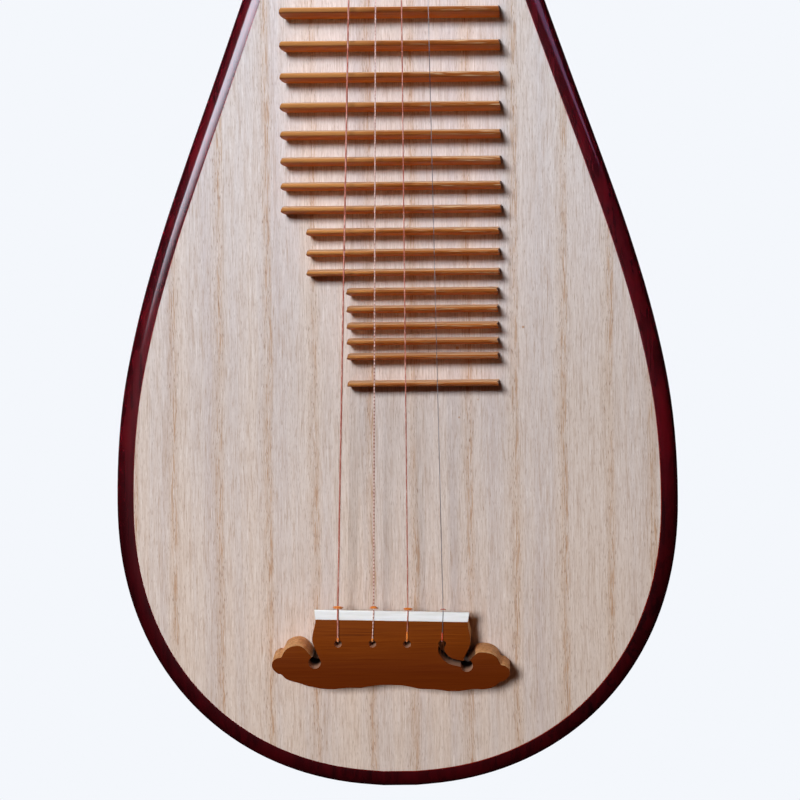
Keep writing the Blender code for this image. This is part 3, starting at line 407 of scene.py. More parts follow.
def bone_material(name, lo, hi, rough=0.32):
    k = Mat(name, rough=rough, spec=0.5, coat=0.2, coat_rough=0.15)
    f = k.noise(k.vec(k.mul(k.x, 1 / 14), k.mul(k.y, 1 / 1.1), k.mul(k.z, 1 / 1.1)), 1, 3, 0.6)
    c = k.noise(k.p, 0.12, 2, 0.5)
    col = k.ramp(f, [(0.3, lo), (0.7, hi)])
    col = k.mix(k.mul(k.step(c, 0.55, 0.8), 0.25), col, lo)
    speck = k.voronoi(k.vscale(k.p, (1.3, 1.3, 1.3)), 1.0)
    col = k.mix(k.mul(k.step(speck, 0.12, 0.05), 0.22), col, srgb(170, 156, 134))
    k.b.inputs["Subsurface Weight"].default_value = 0.08
    k.b.inputs["Subsurface Radius"].default_value = (0.004, 0.003, 0.002)
    k.b.inputs["Subsurface Scale"].default_value = 0.4
    return k.done(col, k.ramp(c, [(0.3, rough - 0.06), (0.7, rough + 0.08)]), k.bump(f, 0.00004, 0.3))


def horn_material():
    k = Mat("horn_fret", rough=0.26, spec=0.5, coat=0.5, coat_rough=0.12)
    f = k.noise(k.vec(k.mul(k.x, 1 / 16), k.mul(k.y, 1 / 2.4), k.mul(k.z, 1 / 2.4)), 1, 4, 0.6, 0.8)
    col = k.ramp(f, [(0.28, srgb(196, 160, 120)), (0.48, srgb(230, 200, 160)),
                     (0.62, srgb(240, 218, 186)), (0.80, srgb(214, 178, 132))])
    c = k.noise(k.p, 0.06, 2, 0.5)
    col = k.mix(k.mul(k.step(c, 0.5, 0.8), 0.25), col, srgb(176, 128, 84))
    k.b.inputs["Subsurface Weight"].default_value = 0.10
    k.b.inputs["Subsurface Radius"].default_value = (0.005, 0.0035, 0.002)
    k.b.inputs["Subsurface Scale"].default_value = 0.4
    return k.done(col, k.ramp(f, [(0.3, 0.20), (0.7, 0.32)]), k.bump(f, 0.00005, 0.3))


def peg_material():
    k = Mat("dark_rosewood", rough=0.30, spec=0.45, coat=0.6, coat_rough=0.10)
    f = k.noise(k.vec(k.mul(k.x, 1 / 26), k.mul(k.y, 1 / 0.8), k.mul(k.z, 1 / 0.8)), 1, 4, 0.6, 0.5)
    b = k.noise(k.vec(k.mul(k.x, 1 / 70), k.mul(k.y, 1 / 4), k.mul(k.z, 1 / 4)), 1, 3, 0.6)
    col = k.ramp(f, [(0.28, srgb(30, 9, 8)), (0.50, srgb(58, 18, 14)), (0.75, srgb(88, 34, 22))])
    col = k.mix(k.mul(k.step(b, 0.5, 0.75), 0.5), col, srgb(28, 8, 8))
    return k.done(col, k.ramp(f, [(0.3, 0.24), (0.7, 0.38)]), k.bump(f, 0.00006, 0.35))


def spruce_material():
    k = Mat("spruce_brace", rough=0.7, spec=0.2)
    f = k.noise(k.vec(k.mul(k.x, 1 / 60), k.mul(k.y, 1 / 1.3), k.mul(k.z, 1 / 1.3)), 1, 3, 0.6)
    col = k.ramp(f, [(0.3, srgb(196, 158, 108)), (0.55, srgb(218, 184, 136)), (0.75, srgb(178, 134, 86))])
    return k.done(col, None, k.bump(f, 0.00008, 0.4))


def wound_material(name="copper_wound", pitch=0.34):
    """Fine wire wound round the string: one turn every `pitch` millimetres."""
    k = Mat(name, rough=0.36, metal=0.2, spec=0.5)
    turn = k.math("SINE", k.mul(k.add(k.z, k.mul(k.y, 0.3)), 2 * math.pi / pitch))
    n = k.noise(k.vec(k.mul(k.x, 1 / 1.4), k.mul(k.y, 1 / 1.4), k.mul(k.z, 1 / 4.5)), 1, 3, 0.6)
    col = k.ramp(n, [(0.28, srgb(176, 84, 66)), (0.50, srgb(206, 122, 104)), (0.74, srgb(244, 198, 184))])
    col = k.mix(k.mul(k.step(turn, 0.2, -0.9), 0.40), col, srgb(112, 50, 40))
    return k.done(col, k.ramp(n, [(0.3, 0.28), (0.7, 0.42)]), k.bump(turn, 0.00008, 0.5))


def spiral_material():
    """Pale thread wound openly over a red-brown core, seen as dots."""
    k = Mat("copper_spiral", rough=0.42, metal=0.2, spec=0.5)
    n = k.noise(k.vec(k.mul(k.x, 1 / 1.2), k.mul(k.y, 1 / 1.2), k.mul(k.z, 1 / 3.5)), 1, 2, 0.6)
    col = k.ramp(n, [(0.3, srgb(206, 160, 148)), (0.55, srgb(226, 190, 178)), (0.75, srgb(240, 214, 206))])
    turn = k.math("SINE", k.mul(k.z, 2 * math.pi / 1.9))
    low = k.add(k.mul(k.step(k.z, 300.0, 240.0), 0.46), 0.26)      # the dots show most on the open length
    col = k.mix(k.mul(k.step(turn, 0.3, -0.7), low), col, srgb(146, 66, 50))
    return k.done(col)


def steel_material():
    k = Mat("steel_wire", rough=0.34, metal=0.55)
    n = k.noise(k.vec(k.mul(k.x, 1 / 0.9), k.mul(k.y, 1 / 0.9), k.mul(k.z, 1 / 26)), 1, 3, 0.6)
    col = k.ramp(n, [(0.36, srgb(104, 98, 106)), (0.52, srgb(150, 142, 148)), (0.66, srgb(194, 186, 190))])
    return k.done(col, k.ramp(n, [(0.3, 0.22), (0.7, 0.38)]))


def thread_material(name, dark, mid, light):
    """Twisted silk thread."""
    k = Mat(name, rough=0.62, spec=0.3)
    k.b.inputs["Sheen Weight"].default_value = 0.3
    ply = k.math("SINE", k.add(k.mul(k.x, 2 * math.pi / 0.55), k.mul(k.z, 2 * math.pi / 0.5)))
    n = k.noise(k.p, 1.6, 3, 0.6)
    col = k.ramp(n, [(0.3, dark), (0.5, mid), (0.75, light)])
    col = k.mix(k.mul(k.step(ply, 0.0, -1.0), 0.45), col, dark)
    return k.done(col, None, k.bump(ply, 0.00010, 0.5))


M_BOARD = soundboard_material()
M_LACQUER = lacquer_material()
M_PIN = bamboo_material()
M_BRIDGE = bridge_material()
M_STRIP = bone_material("bone_strip", srgb(230, 229, 228), srgb(244, 244, 246), 0.42)
M_BONE = bone_material("bone_cap", srgb(214, 205, 186), srgb(236, 230, 216))
M_HORN = horn_material()
M_PEG = peg_material()
M_SPRUCE = spruce_material()
M_WOUND = wound_material()
M_SPIRAL = spiral_material()
M_STEEL = steel_material()
M_ORANGE = thread_material("orange_thread", srgb(200, 92, 20), srgb(240, 132, 36), srgb(252, 166, 72))
M_RED = thread_material("red_thread", srgb(146, 34, 10), srgb(200, 62, 18), srgb(228, 102, 38))


# ================================================================ mesh helpers
def piece(name, mesh, mat, body="body", replaces=(), angle=35.0, collection=None):
    mesh.name = name
    mesh.materials.clear()
    mesh.materials.append(mat)
    ob = bpy.data.objects.new(name, mesh)
    scene.collection.objects.link(ob)
    mesh.shade_smooth()
    mesh.set_sharp_from_angle(angle=math.radians(angle))
    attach(ob, body)
    if replaces:
        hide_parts(*replaces)
    return ob


def mesh_from(bm, name="m"):
    bmesh.ops.recalc_face_normals(bm, faces=bm.faces)
    me = bpy.data.meshes.new(name)
    bm.to_mesh(me)
    bm.free()
    return me


def bake_modifiers(ob):
    """Replace the object's mesh by its evaluated mesh."""
    bpy.context.view_layer.update()
    dg = bpy.context.evaluated_depsgraph_get()
    me = bpy.data.meshes.new_from_object(ob.evaluated_get(dg))
    ob.modifiers.clear()
    ob.data = me
    return ob


def prism_mesh(loops, thickness, matrix, bevel=0.0, res=2):
    """Flat outlines in the curve's XY plane, thickened along Z, edges rounded."""
    cu = bpy.data.curves.new("outline", 'CURVE')
    cu.dimensions = '2D'
    cu.fill_mode = 'BOTH'
    cu.extrude = thickness / 2 - bevel
    if bevel:
        cu.bevel_depth = bevel
        cu.bevel_resolution = res
        cu.offset = -bevel
    for loop in loops:
        sp = cu.splines.new('POLY')
        sp.points.add(len(loop) - 1)
        for p, (u, v) in zip(sp.points, loop):
            p.co = (u, v, 0.0, 1.0)
        sp.use_cyclic_u = True
    ob = bpy.data.objects.new("outline", cu)
    scene.collection.objects.link(ob)
    ob.matrix_world = matrix
    bpy.context.view_layer.update()
    dg = bpy.context.evaluated_depsgraph_get()
    me = bpy.data.meshes.new_from_object(ob.evaluated_get(dg))
    me.transform(ob.matrix_world)
    bm = bmesh.new()
    bm.from_mesh(me)
    bmesh.ops.remove_doubles(bm, verts=bm.verts, dist=1e-6)
    bmesh.ops.recalc_face_normals(bm, faces=bm.faces)
    bm.to_mesh(me)
    bm.free()
    bpy.data.objects.remove(ob, do_unlink=True)
    bpy.data.curves.remove(cu)
    return me


def boolean(mesh, cutters, operation='DIFFERENCE'):
    """Mesh cut by each cutter mesh in turn."""
    ob = bpy.data.objects.new("cut_me", mesh)
    scene.collection.objects.link(ob)
    tools = []
    for c in cutters:
        t = bpy.data.objects.new("cutter", c)
        scene.collection.objects.link(t)
        tools.append(t)
        m = ob.modifiers.new("cut", 'BOOLEAN')
        m.operation = operation
        m.solver = 'EXACT'
        m.object = t
    bpy.context.view_layer.update()
    dg = bpy.context.evaluated_depsgraph_get()
    out = bpy.data.meshes.new_from_object(ob.evaluated_get(dg))
    for t in tools + [ob]:
        bpy.data.objects.remove(t, do_unlink=True)
    return out


def add_bevel(ob, width, segments=2, angle=40.0):
    b = ob.modifiers.new("edge_round", 'BEVEL')
    b.width = width
    b.segments = segments
    b.limit_method = 'ANGLE'
    b.angle_limit = math.radians(angle)
    b.miter_outer = 'MITER_ARC'
    b.harden_normals = False
    b.use_clamp_overlap = True
    return ob


def spline(points, per=4):
    out, n = [], len(points)
    for i in range(n - 1):
        p0, p1 = points[max(0, i - 1)], points[i]
        p2, p3 = points[i + 1], points[min(n - 1, i + 2)]
        for k in range(per):
            t = k / per
            out.append(tuple(0.5 * (2 * b + (c - a) * t + (2 * a - 5 * b + 4 * c - d) * t * t
                                    + (3 * b - a - 3 * c + d) * t ** 3)
                             for a, b, c, d in zip(p0, p1, p2, p3)))
    out.append(points[-1])
    return out


def tube_mesh(path, radius, sides=10, closed=False, radii=None, twist=None):
    """Round tube along a path of Vectors with frames carried along it; capped ends."""
    bm = bmesh.new()
    rows = []
    n = len(path)
    t0 = (path[1] - path[0]).normalized()
    ref = Vector((1, 0, 0)) if abs(t0.x) < 0.9 else Vector((0, 1, 0))
    u = (ref - t0 * ref.dot(t0)).normalized()
    for i, p in enumerate(path):
        a = path[(i - 1) % n] if closed else path[max(0, i - 1)]
        b = path[(i + 1) % n] if closed else path[min(n - 1, i + 1)]
        t = (b - a).normalized()
        u = (u - t * u.dot(t)).normalized()
        v = t.cross(u)
        r = radii[i] if radii else radius
        rows.append([bm.verts.new(p + (u * math.cos(2 * math.pi * k / sides)
                                       + v * math.sin(2 * math.pi * k / sides)) * r)
                     for k in range(sides)])
    pairs = list(zip(rows, rows[1:])) + ([(rows[-1], rows[0])] if closed else [])
    for a, b in pairs:
        for k in range(sides):
            bm.faces.new((a[k], a[(k + 1) % sides], b[(k + 1) % sides], b[k]))
    if not closed:
        bm.faces.new(rows[0][::-1])
        bm.faces.new(rows[-1])
    return mesh_from(bm)


def join_meshes(meshes):
    bm = bmesh.new()
    for m in meshes:
        bm.from_mesh(m)
        bpy.data.meshes.remove(m)
    me = bpy.data.meshes.new("joined")
    bm.to_mesh(me)
    bm.free()
    return me


FRONT = Matrix(((1, 0, 0, 0), (0, 0, -1, 0), (0, 1, 0, 0), (0, 0, 0, 1)))


def facing(y_front, y_back):
    return Matrix.Translation((0, (y_front + y_back) / 2, 0)) @ FRONT


# ================================================================ outline
def flank(z):
    pts = [(a * MM, b * MM) for a, b in FLANK]
    if z >= pts[-1][0]:
        return pts[-1][1]
    i = max(k for k in range(len(pts) - 1) if z >= pts[k][0] - 1e-12)

    def slope(k):
        if k == 0:
            return 0.0
        if k == len(pts) - 1:
            return (pts[k][1] - pts[k - 1][1]) / (pts[k][0] - pts[k - 1][0])
        d0 = (pts[k][1] - pts[k - 1][1]) / (pts[k][0] - pts[k - 1][0])
        d1 = (pts[k + 1][1] - pts[k][1]) / (pts[k + 1][0] - pts[k][0])
        h0, h1 = pts[k][0] - pts[k - 1][0], pts[k + 1][0] - pts[k][0]
        return (d0 * h1 + d1 * h0) / (h0 + h1)
    (z0, w0), (z1, w1) = pts[i], pts[i + 1]
    h = z1 - z0
    t = (z - z0) / h
    return ((2 * t ** 3 - 3 * t ** 2 + 1) * w0 + (t ** 3 - 2 * t ** 2 + t) * h * slope(i)
            + (3 * t ** 2 - 2 * t ** 3) * w1 + (t ** 3 - t ** 2) * h * slope(i + 1))


def tail(theta):
    e = 2 / TAIL_POWER
    return (HALF_WIDTH * math.sin(theta) ** e,
            BELLY_Z - BELLY_Z * max(0.0, math.cos(theta)) ** e)


THETA_0 = math.asin((TAIL_FLAT / HALF_WIDTH) ** (TAIL_POWER / 2))


def half_outline(n_tail=40, top=NECK_TOP_Z, step=9 * MM):
    """Points (x, z) and unit inward normals from the tail's flat to the top."""
    keys = [('t', THETA_0 + (math.pi / 2 - THETA_0) * i / n_tail) for i in range(n_tail)]
    z = BELLY_Z
    while z < top - step * 0.6:
        keys.append(('f', z))
        z += step
    keys.append(('f', top))
    out = []
    for kind, q in keys:
        if kind == 't':
            a, b = Vector(tail(q - 1e-4)), Vector(tail(min(q + 1e-4, math.pi / 2)))
            p = Vector(tail(q))
            fade = 1.0
        else:
            a = Vector((flank(q - 1e-5), q - 1e-5)) if q > BELLY_Z else Vector((HALF_WIDTH, BELLY_Z - 1e-5))
            b = Vector((flank(q + 1e-5), q + 1e-5))
            p = Vector((flank(q), q))
            fade = 1 - smoothstep(q, 430 * MM, 600 * MM)
        t = (b - a).normalized()
        n = Vector((-t.y, t.x * fade)).normalized()
        out.append((p, n))
    out[0] = (Vector((out[0][0].x, 0.0)), out[0][1])
    return out


def rim_width(z):
    return RIM_WIDTH + (RIM_WIDTH_NECK - RIM_WIDTH) * smoothstep(z, 430 * MM, 600 * MM)


def reach(p, n):
    return min(p.x / max(1e-6, -n.x), HALF_WIDTH)


def back_y(z):
    return BACK_Y + (NECK_BACK_Y - BACK_Y) * smoothstep(z, 330 * MM, 610 * MM)


def swell(t):
    return (1 - (1 - t) ** 2.2) ** (1 / 2.2)


def loft_mesh(stations, rings):
    """Closed mirrored solid from sections that run from the front to the back."""
    bm = bmesh.new()
    right, left = [], []
    for p, n in stations:
        sec = rings(p, n)
        right.append([bm.verts.new(q) for q in sec])
        left.append([bm.verts.new((-q[0], q[1], q[2])) for q in sec])
    for i in range(len(right) - 1):
        for j in range(len(right[0]) - 1):
            bm.faces.new((right[i][j], right[i + 1][j], right[i + 1][j + 1], right[i][j + 1]))
            bm.faces.new((left[i][j], left[i][j + 1], left[i + 1][j + 1], left[i + 1][j]))
        bm.faces.new((right[i][0], left[i][0], left[i + 1][0], right[i + 1][0]))
        bm.faces.new((right[i][-1], right[i + 1][-1], left[i + 1][-1], left[i][-1]))
    for j in range(len(right[0]) - 1):
        bm.faces.new((right[0][j], right[0][j + 1], left[0][j + 1], left[0][j]))
    bm.faces.new(right[-1] + left[-1][::-1])
    return mesh_from(bm)


# ================================================================ body shell
def shell_section(p, n):
    pts = []
    w = rim_width(p.y)
    for deg in (0, 4, 9, 15, 22, 30, 38, 46, 54, 62, 70, 77, 84, 90):
        a = math.radians(deg)
        q = p + n * (w * (1 - math.sin(a)))
        pts.append((q.x, FRONT_Y + RIM_ROUND * (1 - math.cos(a)), q.y))
    pts.append((p.x, 1.8 * MM, p.y))
    pts.append((p.x, BAND_BACK_Y, p.y))
    r = reach(p, n) * BACK_FLAT_SHARE
    for t in (0.008, 0.024, 0.05, 0.085, 0.13, 0.19, 0.26, 0.34, 0.43, 0.53, 0.64, 0.76, 0.88, 1.0):
        q = p + n * (r * t)
        pts.append((q.x, BAND_BACK_Y + (back_y(q.y) - BAND_BACK_Y) * swell(t), q.y))
    return pts


body = half_outline()
shell = loft_mesh(body, shell_section)


def offset_loop(stations, extra, top):
    right = []
    for p, n in stations:
        q = p + n * (rim_width(p.y) + extra)
        if q.y > top - 2 * MM:
            break
        right.append((q.x, q.y))
    right.append((flank(top) - rim_width(top) - extra, top))
    return right + [(-x, z) for x, z in reversed(right)]


recess = prism_mesh([offset_loop(body, 0.0, BOARD_TOP_Z + GAP)], BOARD + GAP + 4 * MM,
                    facing(FRONT_Y - 4 * MM, FRONT_Y + BOARD + GAP))


def chamber_section(p, n):
    pts = []
    w = rim_width(p.y) + LEDGE
    q = p + n * w
    pts.append((q.x, FRONT_Y - 1 * MM, q.y))
    pts.append((q.x, -1 * MM, q.y))
    r = reach(p, n) * BACK_FLAT_SHARE
    for t in (0.06, 0.15, 0.28, 0.45, 0.7, 1.0):
        q = p + n * (w + (r - w) * t)
        pts.append((q.x, -1 * MM + (back_y(q.y) - WALL + 1 * MM) * swell(t), q.y))
    return pts


chamber = loft_mesh(half_outline(20, CHAMBER_TOP_Z, 20 * MM), chamber_section)
shell = boolean(shell, [recess, chamber])
piece("lacquered_body", shell, M_LACQUER, replaces=["back_shell"], angle=32)

board = prism_mesh([offset_loop(body, 0.06 * MM, BOARD_TOP_Z)], BOARD, facing(FRONT_Y, FRONT_Y + BOARD))
piece("paulownia_face", board, M_BOARD, replaces=["soundboard"], angle=30)

for nm in ("brace_1", "brace_2", "brace_3", "sound_post_1", "sound_post_2"):
    ob = frame["nodes"][nm]
    ob.data.materials.clear()
    ob.data.materials.append(M_SPRUCE)


# ================================================================ frets
def fret_z(step):
    return SCALE_FOOT_Z + SCALE * 2 ** (-step / 12)


def bar_mesh(section, ends, base_y, nx=16, sag=None):
    """Bar along X. section: closed list of (z, height above base), metres;
    ends(h, z) gives the bar's left and right x at height h and place z."""
    bm = bmesh.new()
    rows = []
    for i in range(nx + 1):
        t = i / nx
        t = 0.5 - 0.5 * math.cos(math.pi * t) if nx > 4 else t
        row = []
        for z, h in section:
            x0, x1 = ends(h, z)
            x = x0 + (x1 - x0) * t
            dz, dh = sag(x, h) if sag else (0.0, 0.0)
            row.append(bm.verts.new((x, base_y - h - dh, z + dz)))
        rows.append(row)
    m = len(section)
    for a, b in zip(rows, rows[1:]):
        for j in range(m):
            bm.faces.new((a[j], a[(j + 1) % m], b[(j + 1) % m], b[j]))
    bm.faces.new(rows[0][::-1])
    bm.faces.new(rows[-1])
    return mesh_from(bm)


def pin_height(z):
    return 12.4 * MM + 0.0126 * (z - 220 * MM)


for i, step in enumerate(PIN_STEPS, 1):
    z = fret_z(step)
    h = pin_height(z)
    run = min(6.0 * MM, 2.2 * MM + (z - 223 * MM) * 0.018) + (0.7 * MM if i > 17 else 0.0)
    room = flank(z) - rim_width(z) - 6 * MM
    if i <= 14:
        x0, x1 = -60.8 * MM, 57.9 * MM
    elif i <= 17:
        x0, x1 = -47.4 * MM, 56.7 * MM
    else:
        x0, x1 = -26.1 * MM, 55.7 * MM
    x0, x1 = max(x0, -room), min(x1, room)
    # leaning head side, narrow flat crest, a short round-over and the long tail slope
    over = 0.5 * MM + 0.9 * MM * smoothstep(run, 2.4 * MM, 5.6 * MM)
    sec = [(z - 0.1 * MM, 0), (z + 0.3 * MM, h * 0.5), (z + 0.7 * MM, h - 0.45 * MM), (z + 0.58 * MM, h - 0.13 * MM),
           (z + 0.30 * MM, h), (z - 0.35 * MM, h - 0.03 * MM), (z - 0.6 * MM, h - 0.10 * MM),
           (z - 0.6 * MM - over * 0.5, h - 0.32 * MM), (z - 0.6 * MM - over * 0.9, h - 0.62 * MM),
           (z - 0.6 * MM - over, h - 0.85 * MM)]
    for k in range(1, 9):                   # the sloping tail side, slightly full
        t = k / 8
        hh = (h - 0.85 * MM) * (1 - t) + 0.6 * MM * t
        sec.append((z - 0.6 * MM - over - (run - over) * (t + 0.06 * math.sin(math.pi * t)), hh))
    sec.append((z - 0.6 * MM - run, 0))
    under = 1.3 * MM + 1.7 * MM * smoothstep(run, 2.4 * MM, 5.6 * MM)

    def ends(hh, zz, x0=x0, x1=x1, h=h, under=under, z=z):
        q = 1 - hh / h
        corner = min(1.0, max(0.0, (zz - z + 0.9 * MM) / (1.6 * MM)))       # rounded corners of the crest
        round_off = 1 - math.sqrt(1 - corner * corner)
        left = x0 + under * q ** 1.9 + 0.30 * MM * max(0.0, 1 - q / 0.09) ** 2 + 1.5 * MM * round_off * (1 - q) ** 3
        right = x1 - 0.40 * MM * max(0.0, 1 - q / 0.08) ** 2 - 0.8 * MM * round_off * (1 - q) ** 3
        return left, right

    def sag(x, hh, h=h, i=i):
        q = hh / h
        return (0.10 * MM * noise.noise(Vector((x * 22, i * 3.7, 0))) * q,
                0.08 * MM * noise.noise(Vector((x * 30, i * 5.1, 4))) * q)

    me = bar_mesh(sec, ends, FRONT_Y - GAP * 0.2, 24, sag)
    ob = piece("bamboo_pin_%02d" % i, me, M_PIN, replaces=["pin_%02d" % i], angle=50)

for i, step in enumerate(XIANG_STEPS, 1):
    z = fret_z(step)
    h = (16.6 + 0.35 * (z - 584 * MM) / (163 * MM)) * MM
    half = flank(z) - 1.2 * MM
    prof = [(4.6, 0.0), (4.9, 0.6 / 16.6), (4.7, 0.18), (4.1, 0.42), (3.2, 0.68), (2.4, 0.84), (1.7, 0.935),
            (0.9, 0.985), (0.1, 1.0), (-0.9, 0.985), (-2.2, 0.93), (-4.2, 0.80), (-6.6, 0.62),
            (-9.2, 0.42), (-11.8, 0.24), (-14.2, 0.10), (-15.8, 0.03), (-15.9, 0.0)]
    sec = [(z + a * MM, b * h) for a, b in prof]

    def ends(hh, zz, half=half, h=h):
        q = hh / h
        pull = 1.3 * MM * q ** 3 + 0.5 * MM * max(0.0, 1 - q / 0.05)
        return -half + pull, half - pull

    ob = piece("neck_fret_%d" % i, bar_mesh(sec, ends, FRONT_Y - GAP * 0.2, 14), M_HORN,
               replaces=["xiang_%d" % i], angle=60)
    add_bevel(ob, 0.5 * MM, 3, 45)

half = flank(566 * MM) - 2.5 * MM
sec = [(567.8, 0.0), (567.8, 7.6), (567.5, 8.8), (566.6, 10.2), (565.6, 10.8), (564.0, 11.0), (562.4, 10.8),
       (561.4, 10.2), (560.5, 8.8), (560.2, 7.6), (560.2, 0.0)]
ob = piece("phoenix_pillow_block", bar_mesh([(a * MM, b * MM) for a, b in sec],
                                            lambda hh, zz: (-half + 0.6 * MM * (hh / (11 * MM)) ** 3,
                                                        half - 0.6 * MM * (hh / (11 * MM)) ** 3),
                                            FRONT_Y - GAP * 0.2, 14),
           M_HORN, replaces=["phoenix_pillow"], angle=60)
add_bevel(ob, 0.5 * MM, 3, 45)


# the nut, with a groove for each string
def nut_top(x):
    dip = 0.0
    for _, xn, r in STRINGS:
        d = abs(x - xn * MM) / ((r + 0.35) * MM)
        if d < 1:
            dip = max(dip, 0.55 * MM * math.sqrt(1 - d * d))
    return dip


bm = bmesh.new()
rows = []
sec = [(4.0, 0.0), (4.0, 8.4), (3.5, 11.2), (2.7, 14.0), (1.9, 16.3), (1.2, 17.1), (0.3, 17.5), (-0.6, 17.55),
       (-1.8, 17.2), (-2.7, 16.5), (-3.6, 13.8), (-4.5, 11.0), (-5.0, 8.4), (-5.0, 0.0)]
half = 17.6 * MM
xs = sorted(set([round(-half + 2 * half * i / 70, 7) for i in range(71)]
                + [round(xn * MM + d * MM, 7) for _, xn, r in STRINGS
                   for d in (-0.9, -0.6, -0.45, -0.3, -0.15, 0, 0.15, 0.3, 0.45, 0.6, 0.9)]))
for x in xs:
    row = []
    for a, b in sec:
        hh = b * MM
        k = max(0.0, (hh - 13 * MM) / (4.55 * MM))
        pull = 0.9 * MM * (hh / (17.6 * MM)) ** 4
        row.append(bm.verts.new((x * (half - pull) / half, FRONT_Y - 0.06 * MM - hh + nut_top(x) * min(1.0, k * 1.4),
                                 NUT_Z + a * MM)))
    rows.append(row)
m = len(sec)
for a, b in zip(rows, rows[1:]):
    for j in range(m):
        bm.faces.new((a[j], a[(j + 1) % m], b[(j + 1) % m], b[j]))
bm.faces.new(rows[0][::-1])
bm.faces.new(rows[-1])
ob = piece("string_nut", mesh_from(bm), M_BONE, replaces=["nut"], angle=60)


# ================================================================ bridge
def hand_cut(u, v):
    """The scrolls are cut by eye: the left one sits a little higher than the right one."""
    return u, v - math.copysign(smoothstep(abs(u), 43, 51), u)


CLOUD = [(0, -18.8), (5.5, -18.9), (11.2, -19.7), (16, -20.6), (22, -20.7), (26.5, -21.1), (31, -21.6),
         (36, -21.5), (39, -21.1), (42.4, -20.5), (47.5, -19.7), (52, -18.9), (55.8, -17.6), (58.6, -15.2),
         (60.7, -14.6), (62.9, -12.6), (63.8, -10.3), (63.1, -8.0), (61.0, -6.4), (58.9, -6.0), (58.0, -4.3),
         (56.5, -1.9), (53.8, -0.2), (50.0, 0.5), (46.9, -0.1), (44.7, -1.9), (42.6, -4.4)]
PLATE_SIDE = [(38.6, -4.6), (39.6, -2.6), (41.2, 0.8), (42.4, 4.5), (42.0, 8.5), (41.1, 12.4),
              (40.8, 15.6), (41.3, 21.0)]
bridge_frame = Matrix.Translation((BRIDGE_X, 0, BRIDGE_Z)) @ Matrix.Rotation(BRIDGE_TILT, 4, 'Y')
lower, side = spline(CLOUD, 7), spline(PLATE_SIDE, 6)
half_loop = lower + side
loop = half_loop + [(-u, v) for u, v in reversed(half_loop[1:])]
loop = [hand_cut(u, v) for u, v in loop]
loop = [(u * MM, v * MM) for u, v in loop]


def circle(cu, cv, r, n=40):
    return [((cu + r * math.cos(2 * math.pi * k / n)) * MM, (cv + r * math.sin(2 * math.pi * k / n)) * MM)
            for k in range(n)]


def stroke(path, width):
    left, right = [], []
    for i, p in enumerate(path):
        a, b = Vector(path[max(0, i - 1)]), Vector(path[min(len(path) - 1, i + 1)])
        t = (b - a).normalized()
        n = Vector((-t.y, t.x)) * width / 2
        left.append((p[0] + n.x, p[1] + n.y))
        right.append((p[0] - n.x, p[1] - n.y))
    return [(u * MM, v * MM) for u, v in left + right[::-1]]


def on_bridge(x, z):
    q = bridge_frame.inverted() @ Vector((x * MM, 0, z * MM))
    return q.x / MM, q.z / MM


hole_uv = [on_bridge(x, z) for x, z in STRING_HOLES]
plate = prism_mesh([loop], BRIDGE_TOP - 0.06 * MM, bridge_frame @ facing(FRONT_Y - BRIDGE_TOP, FRONT_Y - 0.06 * MM),
                   bevel=0.35 * MM, res=2)
deep = 30 * MM
through = bridge_frame @ facing(FRONT_Y - BRIDGE_TOP - 4 * MM, FRONT_Y + 4 * MM)
side_plane = bridge_frame @ Matrix(((0, 0, 1, 0), (0, -1, 0, FRONT_Y), (1, 0, 0, 0), (0, 0, 0, 1)))
slot_path = spline([hole_uv[3], (26.8, 0.2), (28.6, -2.9), (31.6, -5.2), (35.6, -6.3), (40.0, -7.0)], 6)
rebate = [(15.5, 17.2), (15.5, 24), (26, 24), (26, -3), (14.5, -3), (14.5, 6.0), (19.0, 17.2)]
hollow = [(20, -3), (20, 9.5)] + [(6 + 12 * math.cos(a), 10.5 * math.sin(a) - 0.5)
                                  for a in [math.radians(72 + 108 * q / 12) for q in range(13)]] + [(-6, -3)]
cutters = [prism_mesh([circle(u, v, 2.0)], deep, through) for u, v in hole_uv]
cutters += [prism_mesh([circle(-40.8, -7.5, 3.3, 48)], deep, through),
            prism_mesh([circle(40.6, -7.7, 3.3, 48)], deep, through),
            prism_mesh([stroke(slot_path, 3.3)], deep, through),
            prism_mesh([[(v * MM, h * MM) for v, h in rebate]], 92 * MM, side_plane),
            prism_mesh([[(v * MM, h * MM) for v, h in hollow]], 70 * MM, side_plane)]
plate = boolean(plate, cutters)
piece("cloud_bridge", plate, M_BRIDGE, replaces=["bridge"], angle=30)

saddle = [(15.62, 17.5), (19.2, 17.5), (20.95, 21.0), (20.6, SADDLE_TOP / MM), (15.62, SADDLE_TOP / MM)]
strip = prism_mesh([[(v * MM, h * MM) for v, h in saddle]], 83 * MM, side_plane)
to_bridge = bridge_frame.inverted()
for vert in strip.vertices:                 # a little narrower at its lower edge
    q = to_bridge @ vert.co
    q.x *= 1 - 0.016 * (20.95 - q.z / MM) / 5.3
    vert.co = bridge_frame @ q
ob = piece("bone_strip", strip, M_STRIP, replaces=["bridge_saddle"], angle=30)
add_bevel(ob, 0.22 * MM, 2, 20)


# ================================================================ pegbox and head
def spine(s):
    y, z, n = 4.0 * MM, 829.0 * MM + GAP, 40
    for k in range(n):
        a = LEAN * smoothstep((k + 0.5) / n * s, 0.0, LEAN_RUN)
        y += math.sin(a) * s / n
        z += math.cos(a) * s / n
    return Vector((0, y, z)), LEAN * smoothstep(s, 0.0, LEAN_RUN)


def spine_point(s, x, depth):
    p, a = spine(s)
    return Vector((x, p.y + depth * math.cos(a), p.z - depth * math.sin(a)))


def box_half_width(s):
    return (18.5 + 1.7 * smoothstep(s, 0, 30 * MM) - 3.2 * smoothstep(s, 80 * MM, PEGBOX_LENGTH)) * MM


